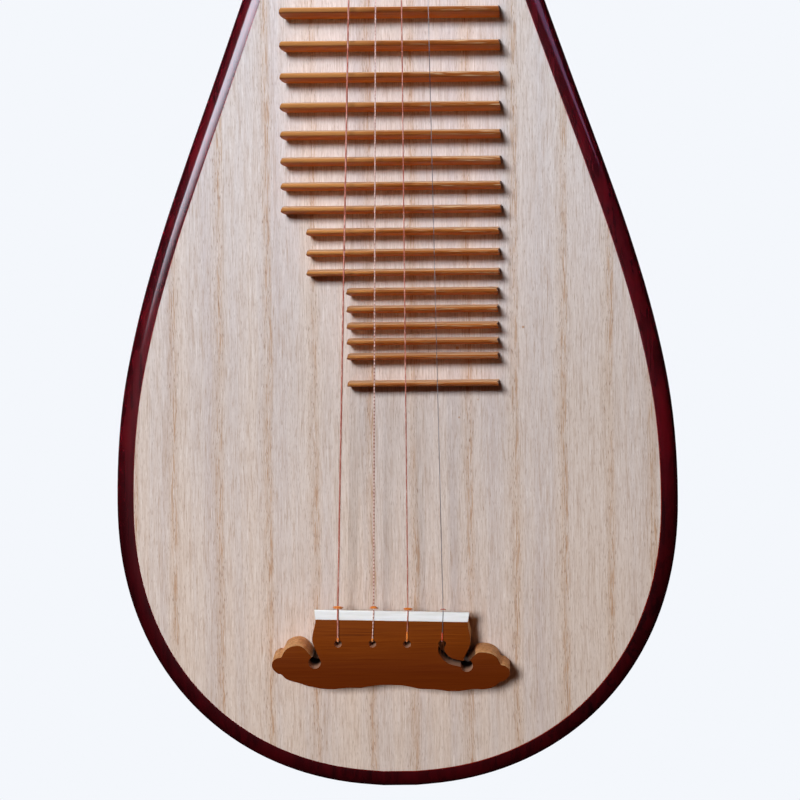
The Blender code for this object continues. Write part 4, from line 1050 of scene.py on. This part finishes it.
def box_half_depth(s):
    return (13.0 + 2.0 * smoothstep(s, 0, 40 * MM) - 2.5 * smoothstep(s, 90 * MM, PEGBOX_LENGTH)) * MM


def tube_sections(sections):
    bm = bmesh.new()
    rows = [[bm.verts.new(q) for q in sec] for sec in sections]
    n = len(rows[0])
    for a, b in zip(rows, rows[1:]):
        for j in range(n):
            bm.faces.new((a[j], a[(j + 1) % n], b[(j + 1) % n], b[j]))
    bm.faces.new(rows[0][::-1])
    bm.faces.new(rows[-1])
    return mesh_from(bm)


def pegbox_section(s):
    w, d = box_half_width(s), box_half_depth(s)
    r = 2.2 * MM
    pts = []
    for k in range(6):
        a = math.radians(180 + 90 * k / 5)
        pts.append((-w + r + r * math.cos(a), -d + r + r * math.sin(a)))
    for k in range(6):
        a = math.radians(270 + 90 * k / 5)
        pts.append((w - r + r * math.cos(a), -d + r + r * math.sin(a)))
    R = 9 * MM
    for k in range(11):
        a = math.radians(90 * k / 10)
        pts.append((w - R + R * math.cos(a), d - R + R * math.sin(a)))
    for k in range(11):
        a = math.radians(90 + 90 * k / 10)
        pts.append((-(w - R) + R * math.cos(a), d - R + R * math.sin(a)))
    return [spine_point(s, x, q) for x, q in pts]


def slot_section(s):
    # the slot's ends are rounded in plan
    w = 11.5 * MM - 1.5 * MM * smoothstep(s, 100 * MM, 130 * MM)
    for end in (10 * MM, 132 * MM):
        d = abs(s - end)
        if d < 6 * MM:
            w -= 6 * MM * (1 - math.sqrt(max(0.0, 1 - (1 - d / (6 * MM)) ** 2)))
    dd = box_half_depth(s)
    return [spine_point(s, x, q) for x, q in
            [(-w, -dd - 6 * MM), (w, -dd - 6 * MM), (w, dd - 6 * MM), (-w, dd - 6 * MM)]]


ss = sorted(set([10 + 6 * (1 - math.cos(math.pi / 2 * q / 6)) for q in range(7)]
                + [132 - 6 * (1 - math.cos(math.pi / 2 * q / 6)) for q in range(7)]
                + [16 + 110 * q / 20 for q in range(21)]))
box_mesh = tube_sections([pegbox_section(PEGBOX_LENGTH * k / 40) for k in range(41)])
slot_mesh = tube_sections([slot_section(s * MM) for s in ss])
peg_centres = [spine_point(s, 0.0, 1.5 * MM) for s in PEG_STATIONS]
cuts = [slot_mesh]
for c in peg_centres:
    bm = bmesh.new()
    bmesh.ops.create_cone(bm, cap_ends=True, segments=48, radius1=PEG_R + 0.22 * MM, radius2=PEG_R + 0.22 * MM,
                          depth=60 * MM)
    bm.transform(Matrix.Translation(c) @ Matrix.Rotation(math.radians(90), 4, 'Y'))
    cuts.append(mesh_from(bm))
box_mesh = boolean(box_mesh, cuts)
ob = piece("lacquered_pegbox", box_mesh, M_LACQUER, replaces=["pegbox"], angle=32)

head_c, head_a = spine(PEGBOX_LENGTH + GAP)
head_frame = Matrix.Translation(head_c) @ Matrix.Rotation(-head_a, 4, 'X')
HEAD = [(0, 62), (8, 60.5), (13, 55), (15.5, 49.5), (22, 49), (28.5, 44.5), (31, 37), (28, 29.5),
        (22.5, 25.5), (25.5, 20), (24, 12.5), (18.5, 8), (15.6, 3.5), (15.0, 0)]
half_head = spline(HEAD, 8)
head_loop = [(u * MM, v * MM) for u, v in half_head] + [(-u * MM, v * MM) for u, v in reversed(half_head[1:])]
head = prism_mesh([head_loop], 18 * MM, head_frame @ facing(-9 * MM, 9 * MM), bevel=1.5 * MM, res=4)
inlay_v = 36 * MM


def disc(r, depth, y, n=64):
    bm = bmesh.new()
    bmesh.ops.create_cone(bm, cap_ends=True, segments=n, radius1=r, radius2=r, depth=depth)
    bm.transform(head_frame @ Matrix.Translation((0, y, inlay_v)) @ Matrix.Rotation(math.radians(90), 4, 'X'))
    return mesh_from(bm)


def ring_groove(r, width, depth):
    """Shallow ring groove round the inlay's edge."""
    bm = bmesh.new()
    n = 72
    rows = []
    for k in range(n):
        a = 2 * math.pi * k / n
        row = []
        for dr, dy in ((-width / 2, -1.0 * MM), (width / 2, -1.0 * MM), (width / 2, depth * 0.5), (0, depth), (-width / 2, depth * 0.5)):
            row.append(bm.verts.new(head_frame @ Vector(((r + dr) * math.cos(a), -9 * MM + dy, inlay_v + (r + dr) * math.sin(a)))))
        rows.append(row)
    m = 5
    for k in range(n):
        a, b = rows[k], rows[(k + 1) % n]
        for j in range(m):
            bm.faces.new((a[j], a[(j + 1) % m], b[(j + 1) % m], b[j]))
    return mesh_from(bm)


# two scroll grooves carved in the lower lobes, one on each side
def scroll(sign):
    pts = []
    for k in range(40):
        t = k / 39
        a = math.radians(200 - 430 * t)
        r = (6.2 - 4.2 * t) * MM
        pts.append(head_frame @ Vector((sign * (16.8 * MM + r * math.cos(a)), -9.15 * MM, 15.6 * MM + r * math.sin(a))))
    return tube_mesh(pts, 0.62 * MM, 8)


def lobe_scroll(sign):
    pts = []
    for k in range(40):
        t = k / 39
        a = math.radians(215 - 400 * t)
        r = (6.4 - 4.0 * t) * MM
        pts.append(head_frame @ Vector((sign * (21.6 * MM + r * math.cos(a)), -9.15 * MM, 38.2 * MM + r * math.sin(a))))
    return tube_mesh(pts, 0.62 * MM, 8)


head = boolean(head, [disc(10.3 * MM, 6 * MM, -9 * MM), ring_groove(12.3 * MM, 1.1 * MM, 0.6 * MM),
                      scroll(1), scroll(-1), lobe_scroll(1), lobe_scroll(-1)])
piece("ruyi_head", head, M_LACQUER, replaces=["head_finial"], angle=32)

# inlay: low dome with eight shallow petals
bm = bmesh.new()
rings_r = [0.0, 1.2, 2.0, 3.0, 4.2, 5.4, 6.6, 7.6, 8.4, 9.0, 9.5, 9.85, 10.0]
n = 96
prev = None
apex = bm.verts.new(head_frame @ Vector((0, -10.35 * MM, inlay_v)))
rows = []
for r in rings_r[1:]:
    row = []
    for k in range(n):
        a = 2 * math.pi * k / n
        dome = 1.35 * math.sqrt(max(0.0, 1 - (r / 10.05) ** 2 * 0.85)) - 0.5
        petal = 0.30 * abs(math.cos(4 * a)) * smoothstep(r, 2.6, 5.0) * (1 - smoothstep(r, 7.4, 8.8))
        y = -9.0 - max(0.02, dome + petal - 0.30 * smoothstep(r, 1.9, 3.0) * (1 - smoothstep(r, 3.0, 4.2)))
        row.append(bm.verts.new(head_frame @ Vector((r * MM * math.cos(a), y * MM, inlay_v + r * MM * math.sin(a)))))
    rows.append(row)
row = [bm.verts.new(head_frame @ Vector((10.0 * MM * math.cos(2 * math.pi * k / n), -6.3 * MM,
                                         inlay_v + 10.0 * MM * math.sin(2 * math.pi * k / n)))) for k in range(n)]
rows.append(row)
for k in range(n):
    bm.faces.new((apex, rows[0][k], rows[0][(k + 1) % n]))
for a, b in zip(rows, rows[1:]):
    for k in range(n):
        bm.faces.new((a[k], b[k], b[(k + 1) % n], a[(k + 1) % n]))
bm.faces.new(rows[-1])
piece("petal_inlay", mesh_from(bm), M_BONE, replaces=["finial_inlay"], angle=40)

# ================================================================ pegs
FLUTES = 12


def peg_mesh(profile, matrix, seg=96, flute=None):
    """Turned solid; flute(h) is the depth of the flutes at height h."""
    bm = bmesh.new()
    rows = []
    for r, h in profile:
        if r < 1e-9:
            rows.append([bm.verts.new((0, 0, h))])
            continue
        d = flute(h) if flute else 0.0
        row = []
        for k in range(seg):
            a = 2 * math.pi * k / seg
            rr = r - d * (0.5 + 0.5 * math.cos(FLUTES * a)) ** 1.6
            row.append(bm.verts.new((rr * math.cos(a), rr * math.sin(a), h)))
        rows.append(row)
    for a, b in zip(rows, rows[1:]):
        if len(a) == 1:
            for k in range(seg):
                bm.faces.new((a[0], b[k], b[(k + 1) % seg]))
        elif len(b) == 1:
            for k in range(seg):
                bm.faces.new((a[k], b[0], a[(k + 1) % seg]))
        else:
            for k in range(seg):
                bm.faces.new((a[k], b[k], b[(k + 1) % seg], a[(k + 1) % seg]))
    bm.transform(matrix)
    return mesh_from(bm)


for i, s in enumerate(PEG_STATIONS):
    bodyname = "tuning_peg_%d" % (i + 1)
    c = Vector(JOINTS[bodyname]["pos_m"])
    side = -1 if i % 2 == 0 else 1
    cheek = box_half_width(s)
    a = cheek + 0.8 * MM
    e = a + PEG_HANDLE
    key = [(7.2, 14), (7.25, 20), (7.6, 30), (8.6, 48), (9.7, 68), (10.6, 86), (11.0, PEG_HANDLE / MM - 9)]
    prof = [(0, e), (10.9, e), (11.5, e - 0.4 * MM), (11.9, e - 1.2 * MM), (12.0, e - 2.2 * MM),
            (12.0, e - 6.4 * MM), (11.8, e - 7.3 * MM), (11.2, e - 8.0 * MM), (10.7, e - 8.7 * MM)]
    hs = [PEG_HANDLE / MM - 9.4 - q * (PEG_HANDLE / MM - 9.4 - 14.0) / 34 for q in range(35)]
    for hh in hs:
        for (r0, h0), (r1, h1) in zip(key, key[1:]):
            if h0 <= hh <= h1 + 1e-6:
                t = (hh - h0) / (h1 - h0)
                prof.append((r0 + (r1 - r0) * t, a + hh * MM))
                break
    prof += [(7.0, a + 13.0 * MM), (7.3, a + 12.2 * MM), (8.0, a + 11.2 * MM), (8.35, a + 10.2 * MM), (8.4, a + 9.0 * MM),
             (8.4, a + 6.0 * MM), (8.3, a + 5.0 * MM), (7.9, a + 4.0 * MM), (7.3, a + 2.6 * MM), (6.9, a + 1.2 * MM),
             (6.75, a + 0.5 * MM), (6.5, a + 0.12 * MM), (6.2, a), (4.6, a), (4.6, 0.0), (4.6, -cheek - 1.4 * MM), (4.35, -cheek - 2.0 * MM),
             (3.8, -cheek - 2.4 * MM), (3.2, -cheek - 2.5 * MM), (0, -cheek - 2.5 * MM)]
    prof = [(r * MM, h) for r, h in prof]
    end_h, start_h = e - 9.0 * MM, a + 14.0 * MM

    def flute(h, lo=start_h, hi=end_h):
        if h < lo or h > hi + 0.5 * MM:
            return 0.0
        return 0.95 * MM * smoothstep(h, lo, lo + 7 * MM) * (1 - smoothstep(h, hi - 6 * MM, hi))

    turn = Matrix.Translation(c) @ Matrix.Rotation(math.radians(90 * side), 4, 'Y')
    piece("peg_handle_%d" % (i + 1), peg_mesh(prof, turn, 96, flute), M_PEG, bodyname,
          ["peg_%d" % (i + 1)], angle=40)
    e += GAP * 0.3
    cap = [(0, 7.0), (1.0, 6.97), (2.0, 6.88), (3.2, 6.6), (4.3, 6.15), (5.3, 5.55), (6.2, 4.75), (6.9, 3.85), (7.3, 3.1),
           (7.5, 2.6), (8.0, 2.45), (8.6, 2.2), (9.0, 1.75), (9.2, 1.2), (9.2, 0.7), (9.0, 0.1), (0, 0.1)]
    piece("peg_end_cap_%d" % (i + 1), peg_mesh([(r * MM, e + h * MM) for r, h in cap], turn, 72), M_BONE,
          bodyname, ["peg_cap_%d" % (i + 1)], angle=40)
    # string wound on the peg, turn beside turn
    k = PEG_STRING[i]
    x, r = PEG_WINDING_X[i], STRINGS[k][2] * MM
    R = PEG_R + GAP * 0.4 + r
    pitch = 2.12 * r
    turns = int((6.4 * MM - 2 * r) / pitch)
    pts = []
    n = turns * 28
    for q in range(n + 1):
        t = q / 28
        ang = 2 * math.pi * t
        pts.append(Vector((x + (t - turns / 2) * pitch, c.y + R * math.sin(ang), c.z + R * math.cos(ang))))
    piece("wound_turns_%d" % (k + 1), tube_mesh(pts, r, 10), M_STEEL if k == 3 else (M_SPIRAL if k == 1 else M_WOUND),
          bodyname, ["string_winding_%d" % (k + 1)], angle=60)

# ================================================================ strings
saddle_edges = []
for i, (xs_, xn, r) in enumerate(STRINGS):
    peg = PEG_STRING.index(i)
    c = peg_centres[peg]
    r = r * MM
    y_nut = FRONT_Y - GAP - NUT_TOP - r - GAP + 0.45 * MM
    y_sad = FRONT_Y - SADDLE_TOP - r - 0.05 * MM
    x_hole, z_hole = (q * MM for q in STRING_HOLES[i])
    z_sad = BRIDGE_Z + 20.9 * MM - (xs_ * MM - BRIDGE_X) * math.sin(BRIDGE_TILT)
    saddle_edges.append((xs_ * MM, y_sad, z_sad))
    outer = PEG_R + GAP * 0.4 + 2 * r + r * 0.3
    nut_p = Vector((y_nut, NUT_Z))
    d = Vector((c.y, c.z)) - nut_p
    ang = math.atan2(d.x, d.y) - math.asin(outer / d.length)
    run = math.sqrt(d.length ** 2 - outer ** 2)
    end = nut_p + Vector((math.sin(ang), math.cos(ang))) * run
    x_end = PEG_WINDING_X[peg]
    corner = [Vector((x_end, end.x, end.y)), Vector((xn * MM, y_nut, NUT_Z)), Vector((xs_ * MM, y_sad, z_sad)),
              Vector((x_hole, y_sad, z_hole + 1.6 * MM)), Vector((x_hole, FRONT_Y - 12 * MM, z_hole + 0.5 * MM))]
    radii_bend = [0, 2.0 * MM, 1.0 * MM, 1.1 * MM, 0]
    path = [corner[0]]
    for q in range(1, 4):
        a_, b_, c_ = corner[q - 1], corner[q], corner[q + 1]
        u_, v_ = (a_ - b_).normalized(), (c_ - b_).normalized()
        rb = radii_bend[q]
        p0, p1 = b_ + u_ * rb, b_ + v_ * rb
        # long runs get inner points
        last = path[-1]
        steps = max(1, int((p0 - last).length / (20 * MM)))
        for k in range(1, steps + 1):
            path.append(last + (p0 - last) * (k / steps))
        for k in range(1, 6):
            t = k / 6
            path.append(p0 * (1 - t) ** 2 + b_ * 2 * t * (1 - t) + p1 * t * t)
        path.append(p1)
    path.append(corner[4])
    if i == 1:
        # an open spiral of pale thread round the second string's core
        fine = [path[0]]
        for a_, b_ in zip(path, path[1:]):
            n = max(1, int((b_ - a_).length / (0.16 * MM)))
            fine += [a_ + (b_ - a_) * (q / n) for q in range(1, n + 1)]
        bm = bmesh.new()
        rows, sides, s_len = [], 10, 0.0
        t0 = (fine[1] - fine[0]).normalized()
        u = (Vector((1, 0, 0)) - t0 * t0.x).normalized()
        for q, p in enumerate(fine):
            if q:
                s_len += (p - fine[q - 1]).length
            t = (fine[min(q + 1, len(fine) - 1)] - fine[max(q - 1, 0)]).normalized()
            u = (u - t * u.dot(t)).normalized()
            v = t.cross(u)
            row = []
            for k in range(sides):
                ph = 2 * math.pi * k / sides
                wave = 0.5 + 0.5 * math.cos(2 * math.pi * s_len / (0.95 * MM) - ph)
                rr = r * (0.72 + 0.28 * wave ** 0.7)
                row.append(bm.verts.new(p + (u * math.cos(ph) + v * math.sin(ph)) * rr))
            rows.append(row)
        for a_, b_ in zip(rows, rows[1:]):
            for k in range(sides):
                bm.faces.new((a_[k], a_[(k + 1) % sides], b_[(k + 1) % sides], b_[k]))
        bm.faces.new(rows[0][::-1])
        bm.faces.new(rows[-1])
        me = mesh_from(bm)
    else:
        me = tube_mesh(path, r, 14)
    piece("stretched_string_%d" % (i + 1), me, M_STEEL if i == 3 else (M_SPIRAL if i == 1 else M_WOUND),
          replaces=["string_%d" % (i + 1)], angle=60)

# tie loops: the string's thread-wrapped end passes under the bridge and comes up
# over the string just above the strip, as a short flat spindle
for i, (x, y, z) in enumerate(saddle_edges):
    r = STRINGS[i][2] * MM
    w, th = [(2.70, 0.50), (2.15, 0.46), (2.40, 0.48), (1.50, 0.24)][i]
    w, th = w * MM, th * MM
    zc = z + (1.85 - 0.1 * i) * MM
    slope = -math.tan(BRIDGE_TILT)

    def strand(w_, th_, lift, drop, n=26):
        pts, rad = [], []
        for q in range(n + 1):
            t = -1 + 2 * q / n
            arch = math.sqrt(max(0.0, 1 - t * t))
            py = y + 1.5 * MM * abs(t) ** 3 - (r + th_ * 0.8 + lift) * arch ** 0.7
            pz = zc - drop + w_ * t * slope - 0.24 * (py - y) - 0.22 * MM * t * t
            pts.append(Vector((x + w_ * t, py, pz)))
            rad.append(th_ * (0.46 + 0.54 * arch))
        return tube_mesh(pts, th_, 12, radii=rad)

    me = strand(w, th, 0.0, 0.0)
    if i < 3:                               # a second, thinner turn beside the first
        me = join_meshes([me, strand(w * 0.82, th * 0.72, -0.1 * MM, (1.05 if i != 1 else -1.0) * th * 1.25)])
    piece("tie_loop_%d" % (i + 1), me, M_RED if i == 3 else M_ORANGE, angle=60)

# thread sleeves where the strings enter their holes
for i, length in ((0, 1.3), (1, 0.9), (2, 4.6), (3, 4.0)):
    x_hole, z_hole = (q * MM for q in STRING_HOLES[i])
    xs_, _, r = STRINGS[i]
    r = r * MM
    y_sad = FRONT_Y - SADDLE_TOP - r - 0.05 * MM
    z_sad = saddle_edges[i][2]
    z0 = z_hole + 2.2 * MM
    pts, rad = [], []
    n = 24
    for q in range(n + 1):
        t = q / n
        z = z0 + length * MM * t
        f = (z - (z_hole + 1.6 * MM)) / (z_sad - (z_hole + 1.6 * MM))
        x = x_hole + (xs_ * MM - x_hole) * f
        pts.append(Vector((x, y_sad, z)))
        rad.append((r + (0.22 if i < 3 else 0.30) * MM) * (0.86 + 0.14 * math.sin(math.pi * min(1, t * 1.15)))
                   + 0.03 * MM * math.sin(t * length * 9))
    # the sleeve bends down into the hole with the string
    pts = [Vector((x_hole, y_sad + 3.2 * MM, z_hole + 0.95 * MM)), Vector((x_hole, y_sad + 1.1 * MM, z_hole + 1.35 * MM)),
           Vector((x_hole, y_sad + 0.25 * MM, z_hole + 1.75 * MM))] + pts
    rad = [rad[0]] * 3 + rad
    piece("thread_sleeve_%d" % (i + 1), tube_mesh(pts, r, 12, radii=rad), M_RED if i == 3 else M_ORANGE,
          angle=60)

# ================================================================ studio
pale = srgb(244, 247, 252)
world = bpy.data.worlds.new("studio")
scene.world = world
world.use_nodes = True
wt = world.node_tree
wt.nodes.clear()
out = wt.nodes.new("ShaderNodeOutputWorld")
lp = wt.nodes.new("ShaderNodeLightPath")


def background(color, strength):
    b = wt.nodes.new("ShaderNodeBackground")
    b.inputs[0].default_value = (*color, 1.0)
    b.inputs[1].default_value = strength
    return b.outputs[0]


def world_mix(fac, a, b):
    m = wt.nodes.new("ShaderNodeMixShader")
    wt.links.new(fac, m.inputs[0])
    wt.links.new(a, m.inputs[1])
    wt.links.new(b, m.inputs[2])
    return m.outputs[0]


AMBIENT = 0.055
ambient = background((1.0, 0.44, 0.26), AMBIENT)
dark = background((0.9, 0.85, 0.95), 0.004)
seen = background(pale, 1.0)
mixed = world_mix(lp.outputs["Is Glossy Ray"], ambient, dark)
mixed = world_mix(lp.outputs["Is Camera Ray"], mixed, seen)
wt.links.new(mixed, out.inputs[0])

# pale floor that the instrument lies over, far enough behind to take no shadow;
# it is clear from behind, so that the back can be seen
fm = bpy.data.materials.new("pale_floor")
fm.use_nodes = True
ft = fm.node_tree
ft.nodes.clear()
fo = ft.nodes.new("ShaderNodeOutputMaterial")
em = ft.nodes.new("ShaderNodeEmission")
em.inputs[0].default_value = (*pale, 1.0)
tr = ft.nodes.new("ShaderNodeBsdfTransparent")
geo = ft.nodes.new("ShaderNodeNewGeometry")
mx = ft.nodes.new("ShaderNodeMixShader")
ft.links.new(geo.outputs["Backfacing"], mx.inputs[0])
ft.links.new(em.outputs[0], mx.inputs[1])
ft.links.new(tr.outputs[0], mx.inputs[2])
ft.links.new(mx.outputs[0], fo.inputs[0])
bm = bmesh.new()
corners = [(-4, 0.9, -3.5), (4, 0.9, -3.5), (4, 0.9, 4.5), (-4, 0.9, 4.5)]
bm.faces.new([bm.verts.new(q) for q in corners])
me = bpy.data.meshes.new("floor")
bm.to_mesh(me)
bm.free()
if me.polygons[0].normal.y > 0:
    me.flip_normals()
me.materials.append(fm)
floor = bpy.data.objects.new("floor", me)
scene.collection.objects.link(floor)
floor.visible_diffuse = False
floor.visible_glossy = False
floor.visible_shadow = False


def area_light(name, at, look, size_x, size_y, power, color=(1, 1, 1), diffuse=True, glossy=True):
    li = bpy.data.lights.new(name, 'AREA')
    li.shape = 'RECTANGLE'
    li.size, li.size_y = size_x, size_y
    li.energy = power
    li.color = color
    ob = bpy.data.objects.new(name, li)
    scene.collection.objects.link(ob)
    ob.location = at
    d = Vector(look) - Vector(at)
    ob.rotation_mode = 'QUATERNION'
    ob.rotation_quaternion = d.to_track_quat('-Z', 'Y')
    ob.visible_camera = False
    ob.visible_diffuse = diffuse
    ob.visible_glossy = glossy
    return ob


def graded(ob, *fades, panel=None):
    """Give a light a strength and tint that change over the soundboard's plane, as a
    graded filter in front of the lamp does. Each fade is (z where it is out, z where it is full).
    A panel has no tint; its own face brightens between the two heights given."""
    li = ob.data
    li.use_nodes = True
    t = li.node_tree
    em = next(n for n in t.nodes if n.type == 'EMISSION')
    geo = t.nodes.new("ShaderNodeNewGeometry")

    def node(op, a, b=0.0):
        n = t.nodes.new("ShaderNodeMath")
        n.operation = op
        for s_, v in zip(n.inputs, (a, b)):
            if isinstance(v, bpy.types.NodeSocket):
                t.links.new(v, s_)
            else:
                s_.default_value = v
        return n.outputs[0]

    def parts(v):
        n = t.nodes.new("ShaderNodeSeparateXYZ")
        t.links.new(v, n.inputs[0])
        return n.outputs

    def rise(v, a, b, lo, hi):
        n = t.nodes.new("ShaderNodeMapRange")
        n.interpolation_type = "SMOOTHSTEP"
        t.links.new(v, n.inputs["Value"])
        if a > b:
            a, b, lo, hi = b, a, hi, lo
        for nm, q in (("From Min", a), ("From Max", b), ("To Min", lo), ("To Max", hi)):
            n.inputs[nm].default_value = q
        return n.outputs[0]

    px, py, pz = parts(geo.outputs["Position"])
    ix, iy, iz = parts(geo.outputs["Incoming"])
    run = node("DIVIDE", node("SUBTRACT", -0.009, py), iy)
    x = node("ADD", px, node("MULTIPLY", run, ix))
    z = node("ADD", pz, node("MULTIPLY", run, iz))
    across = rise(x, -0.25, 0.25, 1.10, 0.90)
    whole = node("MULTIPLY", across, rise(z, -0.02, 0.55, 0.885, 1.10))
    if panel:
        whole = rise(pz, *panel, 0.0, 1.0)
    for out_at, full_at in fades:
        whole = node("MULTIPLY", whole, rise(z, out_at, full_at, 0.0, 1.0))
    t.links.new(whole, em.inputs["Strength"])
    if panel:
        return ob
    mix = t.nodes.new("ShaderNodeMix")
    mix.data_type = "RGBA"
    t.links.new(node("MULTIPLY", rise(z, 0.0, 0.55, 0.0, 1.0), rise(z, 0.56, 0.74, 1.0, 0.15)), mix.inputs[0])
    mix.inputs[6].default_value = (1.01, 1.04, 1.045, 1.0)
    mix.inputs[7].default_value = (1.07, 1.255, 1.455, 1.0)
    t.links.new(mix.outputs[2], em.inputs["Color"])
    return ob


# The key stands high on the left; it comes in lower towards the tail
KEY = 277.0
target = Vector((0, 0, 0.30))
toward = Vector((-5.6, -15, 9.5)).normalized()
graded(area_light("key_upper_frets", target + toward * 5.0, target, 1.80, 1.05, KEY), (0.30, 0.42))
toward = Vector((-5.6, -15, 8.2)).normalized()
graded(area_light("key_lower_frets", target + toward * 5.0, target, 1.80, 1.05, KEY), (0.42, 0.30), (0.13, 0.21))
toward = Vector((-4.4, -15, 3.9)).normalized()
graded(area_light("key_bridge", target + toward * 5.0, target, 1.05, 1.05, KEY * 0.93), (0.21, 0.13))
area_light("back_fill", (-0.9, 2.2, 1.2), (0, 0, 0.4), 1.5, 1.5, 130.0, (1.0, 0.97, 0.94), glossy=False)
area_light("back_gloss", (-0.5, 2.3, 1.4), (0, 0, 0.4), 1.2, 1.2, 16.0, (1.0, 0.97, 0.94), diffuse=False)
panels = [graded(area_light("rim_panel", (-0.82, -1.46, 0.80), (-0.1, 0, 0.42), 1.45, 1.40, 100.0,
                            (0.84, 0.85, 1.0), diffuse=False), (0.68, 0.57), panel=(0.15, 0.62)),
          graded(area_light("rim_panel_right", (1.10, -0.90, 1.08), (0.1, 0, 0.45), 1.70, 0.80, 8.0,
                            (0.90, 0.50, 1.0), diffuse=False), (0.68, 0.57), panel=(-2.0, -1.0))]
shiny = bpy.data.collections.new("lacquered")
for ob in scene.objects:
    if ob.type == 'MESH' and any(m.name == "maroon_lacquer" for m in ob.data.materials if m):
        shiny.objects.link(ob)
for ob in panels:
    ob.light_linking.receiver_collection = shiny

# ================================================================ camera
cam_data = bpy.data.cameras.new("camera")
cam = bpy.data.objects.new("camera", cam_data)
scene.collection.objects.link(cam)
cam_data.sensor_width = 36.0
HOME = (0.060, -1.709, 0.50865)
cam_data.lens = 18.0 / (0.5446 * 400 / 1709.0)
roll = 0.00957
cam.matrix_world = Matrix(((1, roll, 0, HOME[0]), (0, 0, -1, HOME[1]), (-roll, 1, 0, HOME[2]), (0, 0, 0, 1)))
# a shift lens: the camera stands square to the soundboard, in line with the middle of
# the whole instrument, and the frame takes in the lower part only. The shift belongs
# to this place, so it fades out when the camera stands anywhere else.
for prop, value in (("shift_x", -(501.8 - 400) / 800), ("shift_y", -(151.0 + 400) / 800)):
    fc = cam_data.driver_add(prop)
    dr = fc.driver
    dr.type = 'SCRIPTED'
    for nm, ch in (("cx", 'LOC_X'), ("cy", 'LOC_Y'), ("cz", 'LOC_Z')):
        v = dr.variables.new()
        v.name = nm
        v.type = 'TRANSFORMS'
        v.targets[0].id = cam
        v.targets[0].transform_type = ch
        v.targets[0].transform_space = 'WORLD_SPACE'
    dr.expression = "%.6f * max(0, 1 - 200 * (abs(cx - %.5f) + abs(cy - %.5f) + abs(cz - %.5f)))" % (value, *HOME)
scene.camera = cam

scene.view_settings.view_transform = 'Standard'
scene.view_settings.look = 'None'

bpy.context.view_layer.update()
